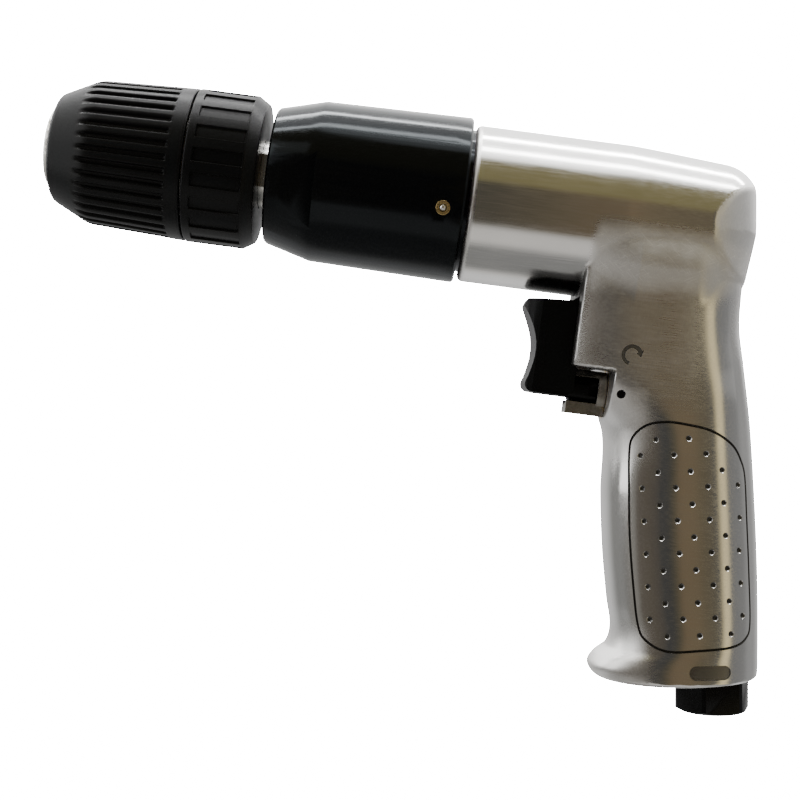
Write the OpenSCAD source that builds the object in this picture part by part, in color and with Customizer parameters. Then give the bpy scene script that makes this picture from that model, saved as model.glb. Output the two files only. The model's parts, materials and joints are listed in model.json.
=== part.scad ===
// Pistol-grip air drill with a keyless chuck, in millimetres.
// The spindle turns about X. The chuck faces -X, the grip hangs down along -Z and raked back.
// The origin lies on the spindle axis, in the plane of the chuck's nose.

/* [Chuck] */
// Largest drill bit the jaws take
bit_d = 13; // [12:0.1:14]
// Diameter of a jaw
jaw_d = 7.2; // [7:0.1:7.6]
// Length of a jaw's gripping land
land_l = 20.4; // [19.6:0.2:21]
// Angle between a jaw and the spindle axis
jaw_angle = 18; // [17:0.5:18.5]
// How far a jaw slides from open to closed
jaw_travel = 15; // [10:0.5:15]
// Length of the jaws along the spindle axis
jaw_l = 34; // [31:0.5:34.5]
// Depth of the hole for the bit
bit_depth = 36; // [35.5:0.5:37]
// Diameter of the bare nose in front of the sleeve
nose_d = 22.8; // [22:0.2:23.4]
// Length of the bare nose
nose_l = 1.2; // [1:0.1:2]
// Diameter of the chuck body under the sleeve
neck_d = 26.8; // [26:0.2:27.4]
// Length of the chuck sleeve
sleeve_l = 39.4; // [38:0.2:44]
// Sleeve diameter at its front edge
sleeve_front_d = 32; // [31.4:0.2:33]
// Sleeve diameter at the end of its cone
sleeve_shoulder_d = 40.8; // [40:0.2:42]
// Sleeve diameter at its rear edge
sleeve_rear_d = 43.2; // [42.4:0.2:46]
// Length of the sleeve's cone
sleeve_cone_l = 11.8; // [10:0.2:13]
// Ribs around the sleeve
sleeve_ribs = 36; // [24:1:40]
// Depth of the grooves between the ribs
rib_depth = 0.9; // [0.4:0.1:1]
// Width of a groove between two ribs
rib_gap = 1.9; // [1:0.1:2.4]
// Gap between the sleeve and the rear ring
ring_gap = 0.4; // [0.3:0.1:1]
// Length of the rear ring
rear_ring_l = 19.7; // [18:0.2:24]
// Diameter of the rear ring
rear_ring_d = 43.6; // [42:0.2:46]
// Recessed pads around the rear ring
ring_pads = 20; // [12:1:24]
// Width of a recessed pad
pad_w = 3.8; // [2:0.2:5]
// Depth of a recessed pad
pad_depth = 0.6; // [0.4:0.1:1]
// Gap between the chuck and the gear case
chuck_gap = 2.7; // [2:0.1:5]
// Width of the chuck nut
nut_w = 7; // [6:0.2:7.4]
// Diameter of the chuck nut
nut_d = 35; // [33:0.2:35.6]
// Diameter of the chuck's thrust balls
thrust_ball_d = 2; // [1.6:0.1:2.4]
// Number of thrust balls
thrust_balls = 30; // [20:1:36]

/* [Spindle] */
// Diameter of the spindle's nose thread
nose_thread_d = 9.5; // [9:0.1:10.4]
// Diameter of the chuck screw
chuck_screw_d = 5; // [4:0.5:5.5]
// Diameter of the spindle collar
collar_d = 19; // [18:0.2:20]
// Distance across the flats of the collar
collar_flats = 16.6; // [15:0.2:18]
// Bore of the spindle bearings
spindle_brg_bore = 15; // [14.4:0.2:15.6]
// Outer diameter of the spindle bearings
spindle_brg_od = 32; // [31:0.2:32.6]
// Width of a spindle bearing
spindle_brg_w = 9; // [8:0.2:10]
// Spacer between the spindle bearings
spacer_w = 3.4; // [2:0.2:5]
// Thickness of the clip behind the bearings
clip_w = 1.2; // [1:0.1:1.6]
// Thickness of the spindle's planet carrier
output_carrier_w = 3.6; // [3:0.1:4.6]

/* [Gears] */
// Module of the gear teeth
gear_module = 0.7; // [0.66:0.01:0.71]
// Teeth on each sun
sun_teeth = 12; // [12:6:12]
// Teeth on each planet
planet_teeth = 18; // [18:6:18]
// Pressure angle of the teeth
pressure_angle = 25; // [20:1:25]
// Width of the output planets
output_planet_w = 8; // [6:0.2:10]
// Width of the first planets
first_planet_w = 7.2; // [6:0.2:9]
// Thickness of the first carrier
first_carrier_w = 3.4; // [3:0.1:4.4]
// Diameter of the planet pins
planet_pin_d = 4; // [3:0.1:4.6]

/* [Gear case] */
// Diameter of the gear case at its front
case_front_d = 38.6; // [38:0.2:41]
// Diameter at the end of the front cone
case_shoulder_d = 45.5; // [44:0.1:47]
// Diameter at the rear
case_rear_d = 46.9; // [46:0.1:48]
// Length of the front cone
case_cone_l = 13.4; // [10:0.2:18]
// Distance across the wrench flats
wrench_flats = 40.6; // [40:0.2:42]
// Length of the wrench flats from the front
wrench_l = 13.6; // [10:0.2:16]
// Gap between the gear case and the housing
case_gap = 2; // [1:0.1:3]
// Diameter of the spigot that enters the housing
spigot_d = 40.2; // [39.6:0.1:41]
// Length of the spigot inside the housing
spigot_l = 8.5; // [7:0.5:10]
// Diameter of the grease fitting
grease_d = 4; // [3:0.1:5]
// Distance of the grease fitting from the rear of the case
grease_inset = 5.8; // [4:0.1:8]

/* [Motor] */
// Diameter of the motor chamber
motor_d = 37.2; // [36.8:0.1:38]
// Bore of the cylinder
cylinder_bore = 30.6; // [30:0.1:31]
// Distance of the cylinder's bore from the rotor's axis
bore_offset = 1.2; // [1:0.05:1.3]
// Length of the cylinder
cylinder_l = 56; // [50:0.5:58]
// Thickness of an end plate
end_plate_w = 8; // [7.6:0.1:9]
// Bore of the rotor bearings
rotor_brg_bore = 10; // [9.9:0.1:10.4]
// Outer diameter of the rotor bearings
rotor_brg_od = 22; // [21.4:0.2:23]
// Width of a rotor bearing
rotor_brg_w = 6; // [5.4:0.1:6.2]
// Number of vanes
vane_count = 5; // [4:1:6]
// Thickness of a vane
vane_t = 1.6; // [1.2:0.1:2]
// Height of a vane
vane_h = 7.4; // [6:0.2:7.8]
// Thickness of the gasket behind the motor
gasket_t = 1; // [0.5:0.1:1.5]

/* [Housing] */
// Diameter of the barrel
barrel_d = 44.4; // [43.8:0.1:46]
// Length of the barrel
barrel_l = 81; // [79:0.5:90]
// Distance of the barrel's axis below the spindle axis
barrel_drop = 0.6; // [0:0.1:0.8]
// Radius of the barrel's rear edge
rear_fillet = 10; // [6:0.5:11]
// How much the barrel's radius falls towards the rear
rear_fall = 2.2; // [1.6:0.1:2.4]
// Rake of the grip
rake = 7.5; // [6:0.5:9]
// Distance from the barrel's rear to the inlet axis
inlet_inset = 11.4; // [10:0.2:13]
// Length of the grip from the spindle axis along the inlet axis
grip_l = 126; // [120:1:140]
// Width of the grip
grip_w = 34; // [32:0.5:38]
// Front of the grip from the inlet axis
grip_front = 31.6; // [31:0.2:34]
// Back of the grip from the inlet axis, at the saddle
saddle_back = 6.8; // [6.2:0.1:8]
// Back of the grip from the inlet axis, at the heel
heel_back = 12.3; // [11.6:0.1:14]
// Reach of the toe in front of the inlet axis
toe_front = 35.5; // [34:0.1:38]

/* [Trigger and valves] */
// Distance of the trigger boss's front face from the barrel's rear
boss_inset = 47.5; // [45:0.5:51]
// Bottom of the trigger boss below the spindle axis
boss_drop = 42.9; // [42:0.1:44]
// Distance of the recess behind the trigger from the barrel's rear
recess_inset = 36; // [35:0.2:37]
// Trigger stem below the spindle axis
valve_drop = 49.2; // [49:0.1:50]
// Travel of the trigger
trigger_travel = 6; // [4:0.5:6.5]
// Width of the trigger
trigger_w = 19; // [17:0.5:20]
// Depth of the trigger's finger hollow
finger_hollow = 2.6; // [2:0.2:4]
// Height of the trigger
trigger_h = 27; // [26:0.2:28]
// Diameter of the trigger's plunger
plunger_d = 8.4; // [8:0.1:8.6]
// Diameter of the trigger stem
stem_d = 4; // [3:0.1:4.4]
// Diameter of the reverse valve
valve_d = 12.4; // [12:0.1:12.8]
// Length of the reverse valve
valve_l = 17.8; // [17:0.1:18.4]
// Wall of the bush around the reverse valve
bush_wall = 0.95; // [0.8:0.05:1.2]
// Swing of the reverse lever each way
lever_swing = 25; // [15:1:25]
// Width of the reverse lever's tab
lever_w = 9; // [8:0.2:10]
// Diameter of the retaining pin
pin_d = 2.4; // [2:0.1:2.6]
// Wire of the throttle spring
spring_wire_d = 1; // [0.8:0.1:1.1]
// Turns of the throttle spring
spring_turns = 5; // [4:0.5:5]

/* [Air inlet] */
// Bore of the inlet's thread
inlet_bore = 11.2; // [10:0.1:12]
// Distance across the flats of the inlet bushing
inlet_flats = 19; // [18:0.5:22]
// Length of the inlet bushing below the grip
inlet_l = 9.8; // [8:0.2:14]
// Diameter of the bushing's shank
shank_d = 16; // [15:0.2:16.6]
// Length of the bushing's shank
shank_l = 14; // [12:0.2:16]
// Diameter of the air passage in the grip
passage_d = 10; // [8:0.2:10.4]
// Diameter of the exhaust chamber
exhaust_d = 13; // [11:0.2:13.4]

/* [Hidden] */
$fn = 64;

// Clearances
running = 0.05;
slack = 0.2;
over = 1;

// Colours
black_plastic = [0.06, 0.06, 0.065];
black_oxide = [0.04, 0.04, 0.042];
bright_steel = [0.72, 0.72, 0.74];
gear_steel = [0.55, 0.55, 0.58];
polished_aluminium = [0.8, 0.8, 0.8];
dark_grey = [0.25, 0.25, 0.26];
brass_yellow = [0.75, 0.6, 0.28];
seal_black = [0.08, 0.08, 0.08];
felt_grey = [0.6, 0.58, 0.52];
bronze = [0.66, 0.48, 0.26];
vane_brown = [0.38, 0.24, 0.14];

// Chuck places along the spindle
third = 120;
land_r = bit_d / 2;
socket_gap = 0.25;
jaw_r = jaw_d / 2;
jaw_rest_r = land_r + jaw_r / cos(jaw_angle) - land_l * tan(jaw_angle);
jaw_close = jaw_travel * sin(jaw_angle);
x_sleeve = nose_l;
x_sleeve_end = x_sleeve + sleeve_l;
x_ring = x_sleeve_end + ring_gap;
x_ring_end = x_ring + rear_ring_l;
nut_inset = 11.4;
sleeve_lip = 1.8;
front_round = 3.6;
front_turn = 67;
x_neck = x_sleeve + sleeve_lip + slack;
x_nut = nose_l + nut_inset;
x_nut_end = x_nut + nut_w;
x_thrust_end = x_nut_end + thrust_ball_d + 2 * slack;
groove_r = jaw_line(x_nut) - 3 * running;
sleeve_wall = 1.2;
flange_r = sleeve_shoulder_d / 2 - sleeve_wall;
hub_r = 15;
web_l = 4.5;
x_web_end = bit_depth + web_l;
hub_inset = 1.7;
x_hub_end = x_ring_end - hub_inset;
ring_chamfer = 2;
nose_edge = 0.8;
plastic_edge = 0.5;
rib_front = 6.6;
rib_rear = 4.4;
pad_front = 2.5;
pad_rear = 3.5;
jaw_lead = 12;
jaw_end_gap = 1.2;
nut_split = 0.3;
screw_head_h = 3;
screw_socket = 2;
screw_reach = 14;

// Spindle and gear case places
x_case = x_ring_end + chuck_gap;
seal_w = 2.8;
x_brg_front = x_case + seal_w + 2 * slack;
x_spacer = x_brg_front + spindle_brg_w;
x_brg_rear = x_spacer + spacer_w;
x_clip = x_brg_rear + spindle_brg_w;
x_ring_gear = x_clip + clip_w + slack;
x_output_carrier = x_clip + clip_w + 0.6;
x_output_planets = x_output_carrier + output_carrier_w + 2 * slack;
x_first_carrier = x_output_planets + output_planet_w + 2 * slack;
x_first_planets = x_first_carrier + first_carrier_w + 2 * slack;
gear_end_gap = 2;
x_motor = x_first_planets + first_planet_w + gear_end_gap;
plate_overlap = 3.2;
x_case_end = x_motor + plate_overlap;
x_housing = x_case_end + case_gap;
x_spigot_end = x_housing + spigot_l;
x_rear = x_housing + barrel_l;
case_bore_r = motor_d / 2;
brg_r = spindle_brg_od / 2;
seal_r = 13;
clip_groove = 0.8;
clip_land = 1.8;
clip_opening = 5;
spacer_wall = 2;
flat_turn = 15;
metal_edge = 0.6;
spindle_ball_d = 4.8;
bearing_ball_count = 9;
grease_angle = 104.4;
grease_seat = 0.4;
grease_sink = 0.1;
grease_bottom = case_bore_r + grease_seat;
grease_top = case_rear_d / 2 - grease_sink;

// Gears
ring_teeth = sun_teeth + 2 * planet_teeth;
gear_reach = gear_module * (sun_teeth + planet_teeth) / 2;
backlash = 0.03;
addendum = gear_module;
dedendum = 1.25 * gear_module;
carrier_rim = 2.5;
carrier_r = gear_reach + planet_pin_d / 2 + carrier_rim;

// Motor places
x_cylinder = x_motor + end_plate_w;
x_rear_plate = x_cylinder + cylinder_l;
x_gasket = x_rear_plate + end_plate_w;
x_motor_end = x_gasket + gasket_t;
rotor_r = cylinder_bore / 2 - bore_offset - slack;
cylinder_r = motor_d / 2 - 2 * running;
dowel_d = 3;
dowel_l = 8;
dowel_wall = 1.5;
dowel_r = cylinder_r - dowel_wall - dowel_d / 4;
plate_web = 1.6;
shaft_gap = 0.6;
port_r = 2.4;
gasket_lap = 1;
rotor_ball_d = 3.2;
x_rotor_brg_front = x_cylinder - plate_web - rotor_brg_w;
x_rotor_brg_rear = x_rear_plate + plate_web;

// Valve places along the trigger stem
x_boss = x_rear - boss_inset;
x_recess = x_rear - recess_inset;
x_valve_end = x_recess + valve_l;
valve_end_gap = 0.4;
x_seat = x_valve_end + valve_end_gap;
seat_w = 2.8;
x_poppet = x_seat + seat_w + slack;
poppet_w = 3;
x_spring = x_poppet + poppet_w;
spring_l = 12;
x_chamber_end = x_spring + spring_l + valve_end_gap;
valve_r = valve_d / 2;
bush_r = valve_r + running + bush_wall;
pin_inset = 2.5;
x_pin = x_recess + pin_inset;
pin_sink = 1.8;
pin_bite = 1.2;
plunger_r = plunger_d / 2;
plunger_tail = 3;
x_plunger_end = x_pin + pin_d / 2 + slack + plunger_tail;
x_plunger_bore_end = x_plunger_end + trigger_travel + valve_end_gap;
valve_gap = 0.15;
stem_grip = 2.4;
o_ring_r = 0.7;
o_ring_groove = 0.02;
o_ring_front = 4.2;
o_ring_rear = 2.4;
window_angle = 20;
seat_lip = 1.2;
seal_lip = 1.4;
poppet_gap = 1.8;
spring_gap = 3;
gallery_d = 7;
gallery_inset = 8;

// Trigger places
trigger_seat = 1.6;
x_trigger_rear = x_boss + trigger_seat;
trigger_rise = 18.3;
trigger_top = boss_drop - trigger_rise;
trigger_bottom = trigger_top + trigger_h;
trigger_tip = 14.7;
x_trigger_tip = x_boss - trigger_tip;
tip_bevel = 0.9;
tip_drop = 2.9;
lip_lean = 3.3;
lip_set = 2.7;
lip_r = 2.2;
lip_rise = 4.3;
trigger_round = 6.5;
pocket_gap = 0.3;
pocket_half = trigger_w / 2 + pocket_gap;
pocket_end_gap = 0.5;
pocket_top_gap = 0.6;
lever_room = 3.2;
lever_pocket_r = plunger_r + lever_room;

// Reverse lever
collar_wall = 1.4;
collar_gap = 0.35;
collar_in_r = plunger_r + collar_gap;
collar_out_r = collar_in_r + collar_wall;
lever_strip = 9.2;
lever_tab_l = 11;
lever_tab_h = 2.35;
lever_tab_top = 3.4;
lever_flange = 2.4;
lever_strip_rise = 3.9;
lever_gap = 0.1;

// Air inlet
x_inlet = x_rear - inlet_inset;
inlet_r = inlet_bore / 2;
inlet_edge = 0.8;
hex_turn = 54;
screen_t = 1.6;
screen_pitch = 1.7;
screen_hole_d = 1.1;
exhaust_f = -18;
exhaust_top = 64;
felt_l = 48;
cover_t = 3;
cover_slot = 1.6;
cover_pitch = 3;

// Grip sections: distance down the inlet axis, front, back, half width, squareness
boss_reach = 46;
grip_half = grip_w / 2;
grip_sections = [
    [-6, boss_reach, saddle_back + 0.4, grip_half + 1.2, 3],
    [6, boss_reach, saddle_back + 1.6, grip_half + 2.2, 3],
    [16, boss_reach, saddle_back + 0.7, grip_half + 1.5, 3],
    [27, boss_reach, saddle_back, grip_half + 0.8, 3],
    [38, boss_reach - 0.4, saddle_back + 1.3, grip_half + 0.5, 2.9],
    [48, grip_front + 4.1, saddle_back + 2.5, grip_half + 0.3, 2.7],
    [56, grip_front - 0.3, heel_back - 2.1, grip_half + 0.1, 2.5],
    [74, grip_front, heel_back - 1, grip_half, 2.5],
    [90, grip_front - 0.5, heel_back - 0.3, grip_half, 2.5],
    [grip_l - 22, grip_front - 1.7, heel_back, grip_half, 2.5],
    [grip_l - 14, grip_front - 2.7, heel_back, grip_half + 0.1, 2.5],
    [grip_l - 9, grip_front - 1.3, heel_back, grip_half + 0.2, 2.5],
    [grip_l - 6.5, toe_front - 1.8, heel_back, grip_half + 0.3, 2.5],
    [grip_l - 3.6, toe_front, heel_back, grip_half + 0.4, 2.5],
    [grip_l, toe_front - 1.8, heel_back - 0.3, grip_half + 0.4, 2.5]];
// Sections that round the barrel's rear in plan, above the grip
rear_reach = 12;
fall_l = 39.4;
rear_half = barrel_d / 2 + 0.1;
rear_sections = [
    [-30, boss_reach, rear_reach, rear_half, 2.3],
    [1, boss_reach, rear_reach, rear_half, 2.3],
    [12, boss_reach, rear_reach - 2.75, rear_half, 2.3],
    [26, boss_reach, rear_reach - 5.9, rear_half, 2.3]];
section_steps = 2;
section_points = 40;

// Radius of a jaw's outer edge at a place along the spindle, with its running clearance
function jaw_line(x) = jaw_rest_r + x * tan(jaw_angle) + (jaw_r + running) / cos(jaw_angle);

// Involute angle in degrees
function involute(a) = tan(a) * 180 / PI - a;

// Half the angle that a tooth fills at radius r
function tooth_half_angle(teeth, r, thin) =
    let (pitch_r = gear_module * teeth / 2)
    let (base_r = pitch_r * cos(pressure_angle))
    90 / teeth - thin / pitch_r * 180 / PI + involute(pressure_angle)
        - involute(acos(min(1, base_r / r)));

// Outline of a gear with a tooth on +X, each flank worn back by thin
function gear_outline(teeth, root_r, tip_r, thin) =
    let (base_r = gear_module * teeth / 2 * cos(pressure_angle))
    let (low_r = max(root_r, base_r))
    let (steps = 4)
    let (radii = concat(root_r < low_r - 0.02 ? [root_r] : [],
        [for (i = [0:steps]) low_r + (tip_r - low_r) * i / steps]))
    let (n = len(radii))
    [for (k = [0:teeth - 1], side = [-1, 1], j = [0:n - 1])
        let (r = side < 0 ? radii[j] : radii[n - 1 - j])
        let (a = k * 360 / teeth + side * tooth_half_angle(teeth, r, thin))
        [r * cos(a), r * sin(a)]];

// Superellipse term
function power(v, n) = sign(v) * pow(abs(v), 2 / n);

// Slope of column k of the table s at row i
function slope(s, i, k) =
    let (a = max(i - 1, 0), b = min(i + 1, len(s) - 1))
    (s[b][k] - s[a][k]) / (s[b][0] - s[a][0]);

// Smooth value of column k between rows i and i + 1 of the table s, at share t
function smooth(s, i, k, t) =
    let (h = s[i + 1][0] - s[i][0])
    (2 * t ^ 3 - 3 * t ^ 2 + 1) * s[i][k] + (t ^ 3 - 2 * t ^ 2 + t) * h * slope(s, i, k)
        + (3 * t ^ 2 - 2 * t ^ 3) * s[i + 1][k] + (t ^ 3 - t ^ 2) * h * slope(s, i + 1, k);

// The table s with extra rows between its own
function refined(s, steps) = concat(
    [for (i = [0:len(s) - 2], j = [0:steps - 1])
        [for (k = [0:len(s[0]) - 1]) smooth(s, i, k, j / steps)]],
    [s[len(s) - 1]]);

// Faces of rings of n points, one after another, with a fan at each end
function ring_faces(rings, n) = concat(
    [for (i = [0:rings - 2], j = [0:n - 1], side = [0, 1])
        let (a = i * n + j, b = i * n + (j + 1) % n)
        side == 0 ? [a, b, b + n] : [a, b + n, a + n]],
    [[for (j = [n - 1:-1:0]) j]],
    [[for (j = [0:n - 1]) (rings - 1) * n + j]]);

module rod(x0, x1, r) {
    translate([x0, 0, 0]) rotate([0, 90, 0]) cylinder(h = x1 - x0, r = r);
}

module tube(x0, x1, outer_r, inner_r) {
    difference() {
        rod(x0, x1, outer_r);
        rod(x0 - over, x1 + over, inner_r);
    }
}

// A shape turned about X from points of place and radius
module turned(profile) {
    rotate([0, 90, 0]) rotate_extrude() polygon([for (p = profile) [p[1], p[0]]]);
}

module around(count, start = 0) {
    for (i = [0:count - 1]) rotate([start + i * 360 / count, 0, 0]) children();
}

// A gear's outline as a solid from x0 to x1
module gear_blank(x0, x1, teeth, root_r, tip_r, thin, turn = 0) {
    translate([x0, 0, 0]) rotate([0, 90, 0]) linear_extrude(x1 - x0) rotate(turn)
        polygon(gear_outline(teeth, root_r, tip_r, thin));
}

module spur_gear(x0, x1, teeth, turn = 0) {
    pitch_r = gear_module * teeth / 2;
    gear_blank(x0, x1, teeth, pitch_r - dedendum, pitch_r + addendum, backlash, turn);
}

// Places a child on the trigger stem's axis
module at_valve() {
    translate([0, 0, -valve_drop]) children();
}

// Places a child on the inlet axis, with its +Z pointing down the grip
module at_inlet(f = 0, h = 0) {
    translate([x_inlet, 0, 0]) rotate([0, 180 - rake, 0]) translate([-f, 0, h]) children();
}

module bearing_outer(x, bore, od, w, ball_d) {
    mean_r = (bore + od) / 4;
    difference() {
        tube(x, x + w, od / 2, mean_r + ball_d * 0.35);
        ball_race(x + w / 2, mean_r, ball_d);
    }
}

module bearing_inner(x, bore, od, w, ball_d) {
    mean_r = (bore + od) / 4;
    difference() {
        tube(x, x + w, mean_r - ball_d * 0.35, bore / 2);
        ball_race(x + w / 2, mean_r, ball_d);
    }
}

module ball_race(x, mean_r, ball_d) {
    translate([x, 0, 0]) rotate([0, 90, 0]) rotate_extrude() translate([mean_r, 0])
        circle(r = ball_d / 2 + running);
}

module bearing_balls(x, bore, od, w, ball_d, count) {
    around(count) translate([x + w / 2, 0, (bore + od) / 4]) sphere(r = ball_d / 2);
}

// Chuck

module jaw_bore(r, end) {
    translate([0, 0, jaw_rest_r]) rotate([0, 90 - jaw_angle, 0]) translate([0, 0, -jaw_lead])
        cylinder(h = jaw_lead + end / cos(jaw_angle), r = r);
}

module chuck_body() {
    color(bright_steel) difference() {
        turned([[0, 0], [0, nose_d / 2 - nose_edge], [nose_edge, nose_d / 2], [x_neck, nose_d / 2],
            [x_neck, neck_d / 2], [x_nut - slack, neck_d / 2],
            [x_nut - slack, groove_r], [x_thrust_end, groove_r], [x_thrust_end, flange_r],
            [x_sleeve_end, flange_r], [x_sleeve_end, hub_r], [x_hub_end, hub_r],
            [x_hub_end, 0]]);
        rod(-over, bit_depth, land_r + socket_gap);
        rod(bit_depth - over, x_web_end + over, chuck_screw_d / 2 + running);
        rod(x_web_end, x_hub_end + over, nose_thread_d / 2 + running);
        around(3) jaw_bore(jaw_r + running, jaw_l + jaw_end_gap);
    }
}

module chuck_sleeve() {
    front_r = sleeve_front_d / 2;
    x_shoulder = x_sleeve + sleeve_cone_l;
    color(black_plastic) difference() {
        turned(concat([[x_sleeve, 0]],
            [for (i = [0:5]) let (a = 180 - front_turn * i / 5)
                [x_sleeve + front_round * (1 + cos(a)), front_r - front_round * (1 - sin(a))]],
            [[x_shoulder, sleeve_shoulder_d / 2],
            [x_sleeve_end - plastic_edge, sleeve_rear_d / 2],
            [x_sleeve_end, sleeve_rear_d / 2 - plastic_edge], [x_sleeve_end, 0]]));
        rod(x_sleeve - over, x_neck, nose_d / 2 + running);
        rod(x_sleeve + sleeve_lip, x_nut, neck_d / 2 + running);
        rod(x_nut - slack, x_nut_end + slack, nut_d / 2 + running / 2);
        rod(x_nut_end, x_thrust_end - slack, nut_d / 2);
        rod(x_thrust_end - slack, x_sleeve_end + over, flange_r + running);
        around(sleeve_ribs) sleeve_groove(x_sleeve + rib_front, x_sleeve_end - rib_rear);
    }
}

// One groove between two ribs, following the sleeve's side
module sleeve_groove(x0, x1) {
    fall = atan((sleeve_rear_d - sleeve_shoulder_d) / 2 / (sleeve_l - sleeve_cone_l));
    translate([x1, 0, sleeve_rear_d / 2 - rib_depth]) rotate([0, -fall, 0])
        translate([x0 - x1, -rib_gap / 2, 0]) cube([x1 - x0, rib_gap, 3 * rib_depth]);
}

module chuck_nut() {
    color(gear_steel) difference() {
        turned([[x_nut, jaw_line(x_nut)], [x_nut, nut_d / 2], [x_nut_end, nut_d / 2],
            [x_nut_end, jaw_line(x_nut_end)]]);
        translate([x_nut - over, -nut_d, -nut_split / 2])
            cube([nut_w + 2 * over, 2 * nut_d, nut_split]);
    }
}

module chuck_thrust_balls() {
    color(bright_steel) around(thrust_balls)
        translate([(x_nut_end + x_thrust_end) / 2, 0, nut_d / 2 - thrust_ball_d / 2 - slack])
        sphere(r = thrust_ball_d / 2);
}

module chuck_rear_ring() {
    outer_r = rear_ring_d / 2;
    pad_l = rear_ring_l - pad_front - pad_rear;
    color(black_plastic) difference() {
        turned([[x_ring, hub_r + running], [x_ring, outer_r - plastic_edge],
            [x_ring + plastic_edge, outer_r],
            [x_ring_end - 1.6 * ring_chamfer, outer_r], [x_ring_end, outer_r - ring_chamfer],
            [x_ring_end, collar_d / 2 + slack], [x_hub_end + running, collar_d / 2 + slack],
            [x_hub_end + running, hub_r + running]]);
        around(ring_pads) translate([x_ring + pad_front, -pad_w / 2, outer_r - pad_depth])
            cube([pad_l, pad_w, 3 * pad_depth]);
    }
}

module chuck_screw() {
    head_r = chuck_screw_d * 0.8;
    x_head = bit_depth - screw_head_h;
    color(gear_steel) difference() {
        union() {
            rod(x_head, bit_depth, head_r);
            rod(bit_depth - over, x_web_end + screw_reach, chuck_screw_d / 2);
        }
        rod(x_head - over, x_head + screw_socket, chuck_screw_d * 0.4, $fn = 6);
    }
}

// Jaw number i: an inclined pin with a hollow land, its flanks meeting when the chuck closes
module jaw(i) {
    ridge = jaw_close + 0.15;
    rise = 3 * jaw_d;
    color(gear_steel) rotate([i * third, 0, 0]) difference() {
        intersection() {
            jaw_bore(jaw_r, jaw_l + 4);
            translate([0, -jaw_d, -jaw_d]) cube([jaw_l, 2 * jaw_d, 8 * jaw_d]);
            rotate([90, 0, 90]) translate([0, 0, -over]) linear_extrude(jaw_l + 2 * over)
                polygon([[0, ridge], [rise * tan(60), ridge + rise],
                    [-rise * tan(60), ridge + rise]]);
        }
        rod(-over, jaw_l + over, land_r);
    }
}

// Spindle and gear case

module spindle() {
    journal_r = spindle_brg_bore / 2;
    x_end = x_output_carrier + output_carrier_w;
    color(bright_steel) difference() {
        turned([[x_web_end + 0.3, 0], [x_web_end + 0.3, nose_thread_d / 2],
            [x_hub_end, nose_thread_d / 2], [x_hub_end, collar_d / 2],
            [x_brg_front, collar_d / 2], [x_brg_front, journal_r],
            [x_output_carrier, journal_r], [x_output_carrier, carrier_r], [x_end, carrier_r],
            [x_end, 0]]);
        rod(x_web_end, x_web_end + screw_reach + 2 * over, chuck_screw_d / 2 + running);
        for (side = [-1, 1])
            translate([x_hub_end + nose_edge, side * (collar_flats + collar_d) / 2 - collar_d / 2,
                -collar_d])
            cube([x_case - x_hub_end - 1.2 * nose_edge, collar_d, 2 * collar_d]);
        around(3) translate([0, 0, gear_reach])
            rod(x_output_carrier - over, x_end + over, planet_pin_d / 2);
    }
}

module spindle_bearing_inner_rings() {
    color(bright_steel) for (x = [x_brg_front, x_brg_rear])
        bearing_inner(x, spindle_brg_bore, spindle_brg_od, spindle_brg_w, spindle_ball_d);
}

module spindle_bearing_outer_rings() {
    color(bright_steel) for (x = [x_brg_front, x_brg_rear])
        bearing_outer(x, spindle_brg_bore, spindle_brg_od, spindle_brg_w, spindle_ball_d);
}

module spindle_bearing_balls() {
    color(bright_steel) for (x = [x_brg_front, x_brg_rear])
        bearing_balls(x, spindle_brg_bore, spindle_brg_od, spindle_brg_w, spindle_ball_d,
            bearing_ball_count);
}

module bearing_spacer() {
    color(gear_steel) tube(x_spacer, x_brg_rear, brg_r, brg_r - spacer_wall);
}

module bearing_clip() {
    color(gear_steel) difference() {
        tube(x_clip, x_clip + clip_w, brg_r + clip_groove, brg_r - clip_land);
        translate([x_clip - over, -clip_opening / 2, 0])
            cube([clip_w + 2 * over, clip_opening, 2 * brg_r]);
    }
}

module spindle_seal() {
    color(seal_black) tube(x_case + slack, x_case + slack + seal_w, seal_r,
        collar_d / 2 + running);
}

// Places a child at the grease fitting, with its +Z pointing out of the case
module at_grease() {
    translate([x_case_end - grease_inset, 0, 0]) rotate([grease_angle, 0, 0]) children();
}

module gear_case() {
    x_shoulder = x_case + case_cone_l;
    shoulder_r = case_shoulder_d / 2;
    front_r = case_front_d / 2;
    rear_r = case_rear_d / 2;
    color(black_oxide) difference() {
        turned([[x_case, 0], [x_case, front_r - metal_edge], [x_case + metal_edge, front_r],
            [x_shoulder, shoulder_r], [x_case_end - metal_edge, rear_r],
            [x_case_end, rear_r - metal_edge], [x_case_end, spigot_d / 2],
            [x_spigot_end, spigot_d / 2], [x_spigot_end, 0]]);
        for (side = [-1, 1]) rotate([flat_turn, 0, 0])
            translate([x_case - over, side * (wrench_flats + case_rear_d) / 2 - case_rear_d / 2,
                -case_rear_d])
            cube([wrench_l + over, case_rear_d, 2 * case_rear_d]);
        rod(x_case - over, x_brg_front + over, seal_r);
        rod(x_brg_front, x_ring_gear, brg_r);
        rod(x_clip, x_clip + clip_w, brg_r + clip_groove);
        rod(x_ring_gear, x_spigot_end + over, case_bore_r);
        at_grease() translate([0, 0, grease_bottom]) cylinder(h = case_rear_d, d = grease_d);
    }
}

module grease_fitting() {
    color(brass_yellow) at_grease() difference() {
        translate([0, 0, grease_bottom]) cylinder(h = grease_top - grease_bottom, d = grease_d);
        translate([0, 0, grease_bottom - over]) cylinder(h = case_rear_d, d = 0.3 * grease_d);
        translate([0, 0, grease_top - 0.45 * grease_d]) cylinder(h = grease_d, d = 0.55 * grease_d);
    }
}

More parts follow.
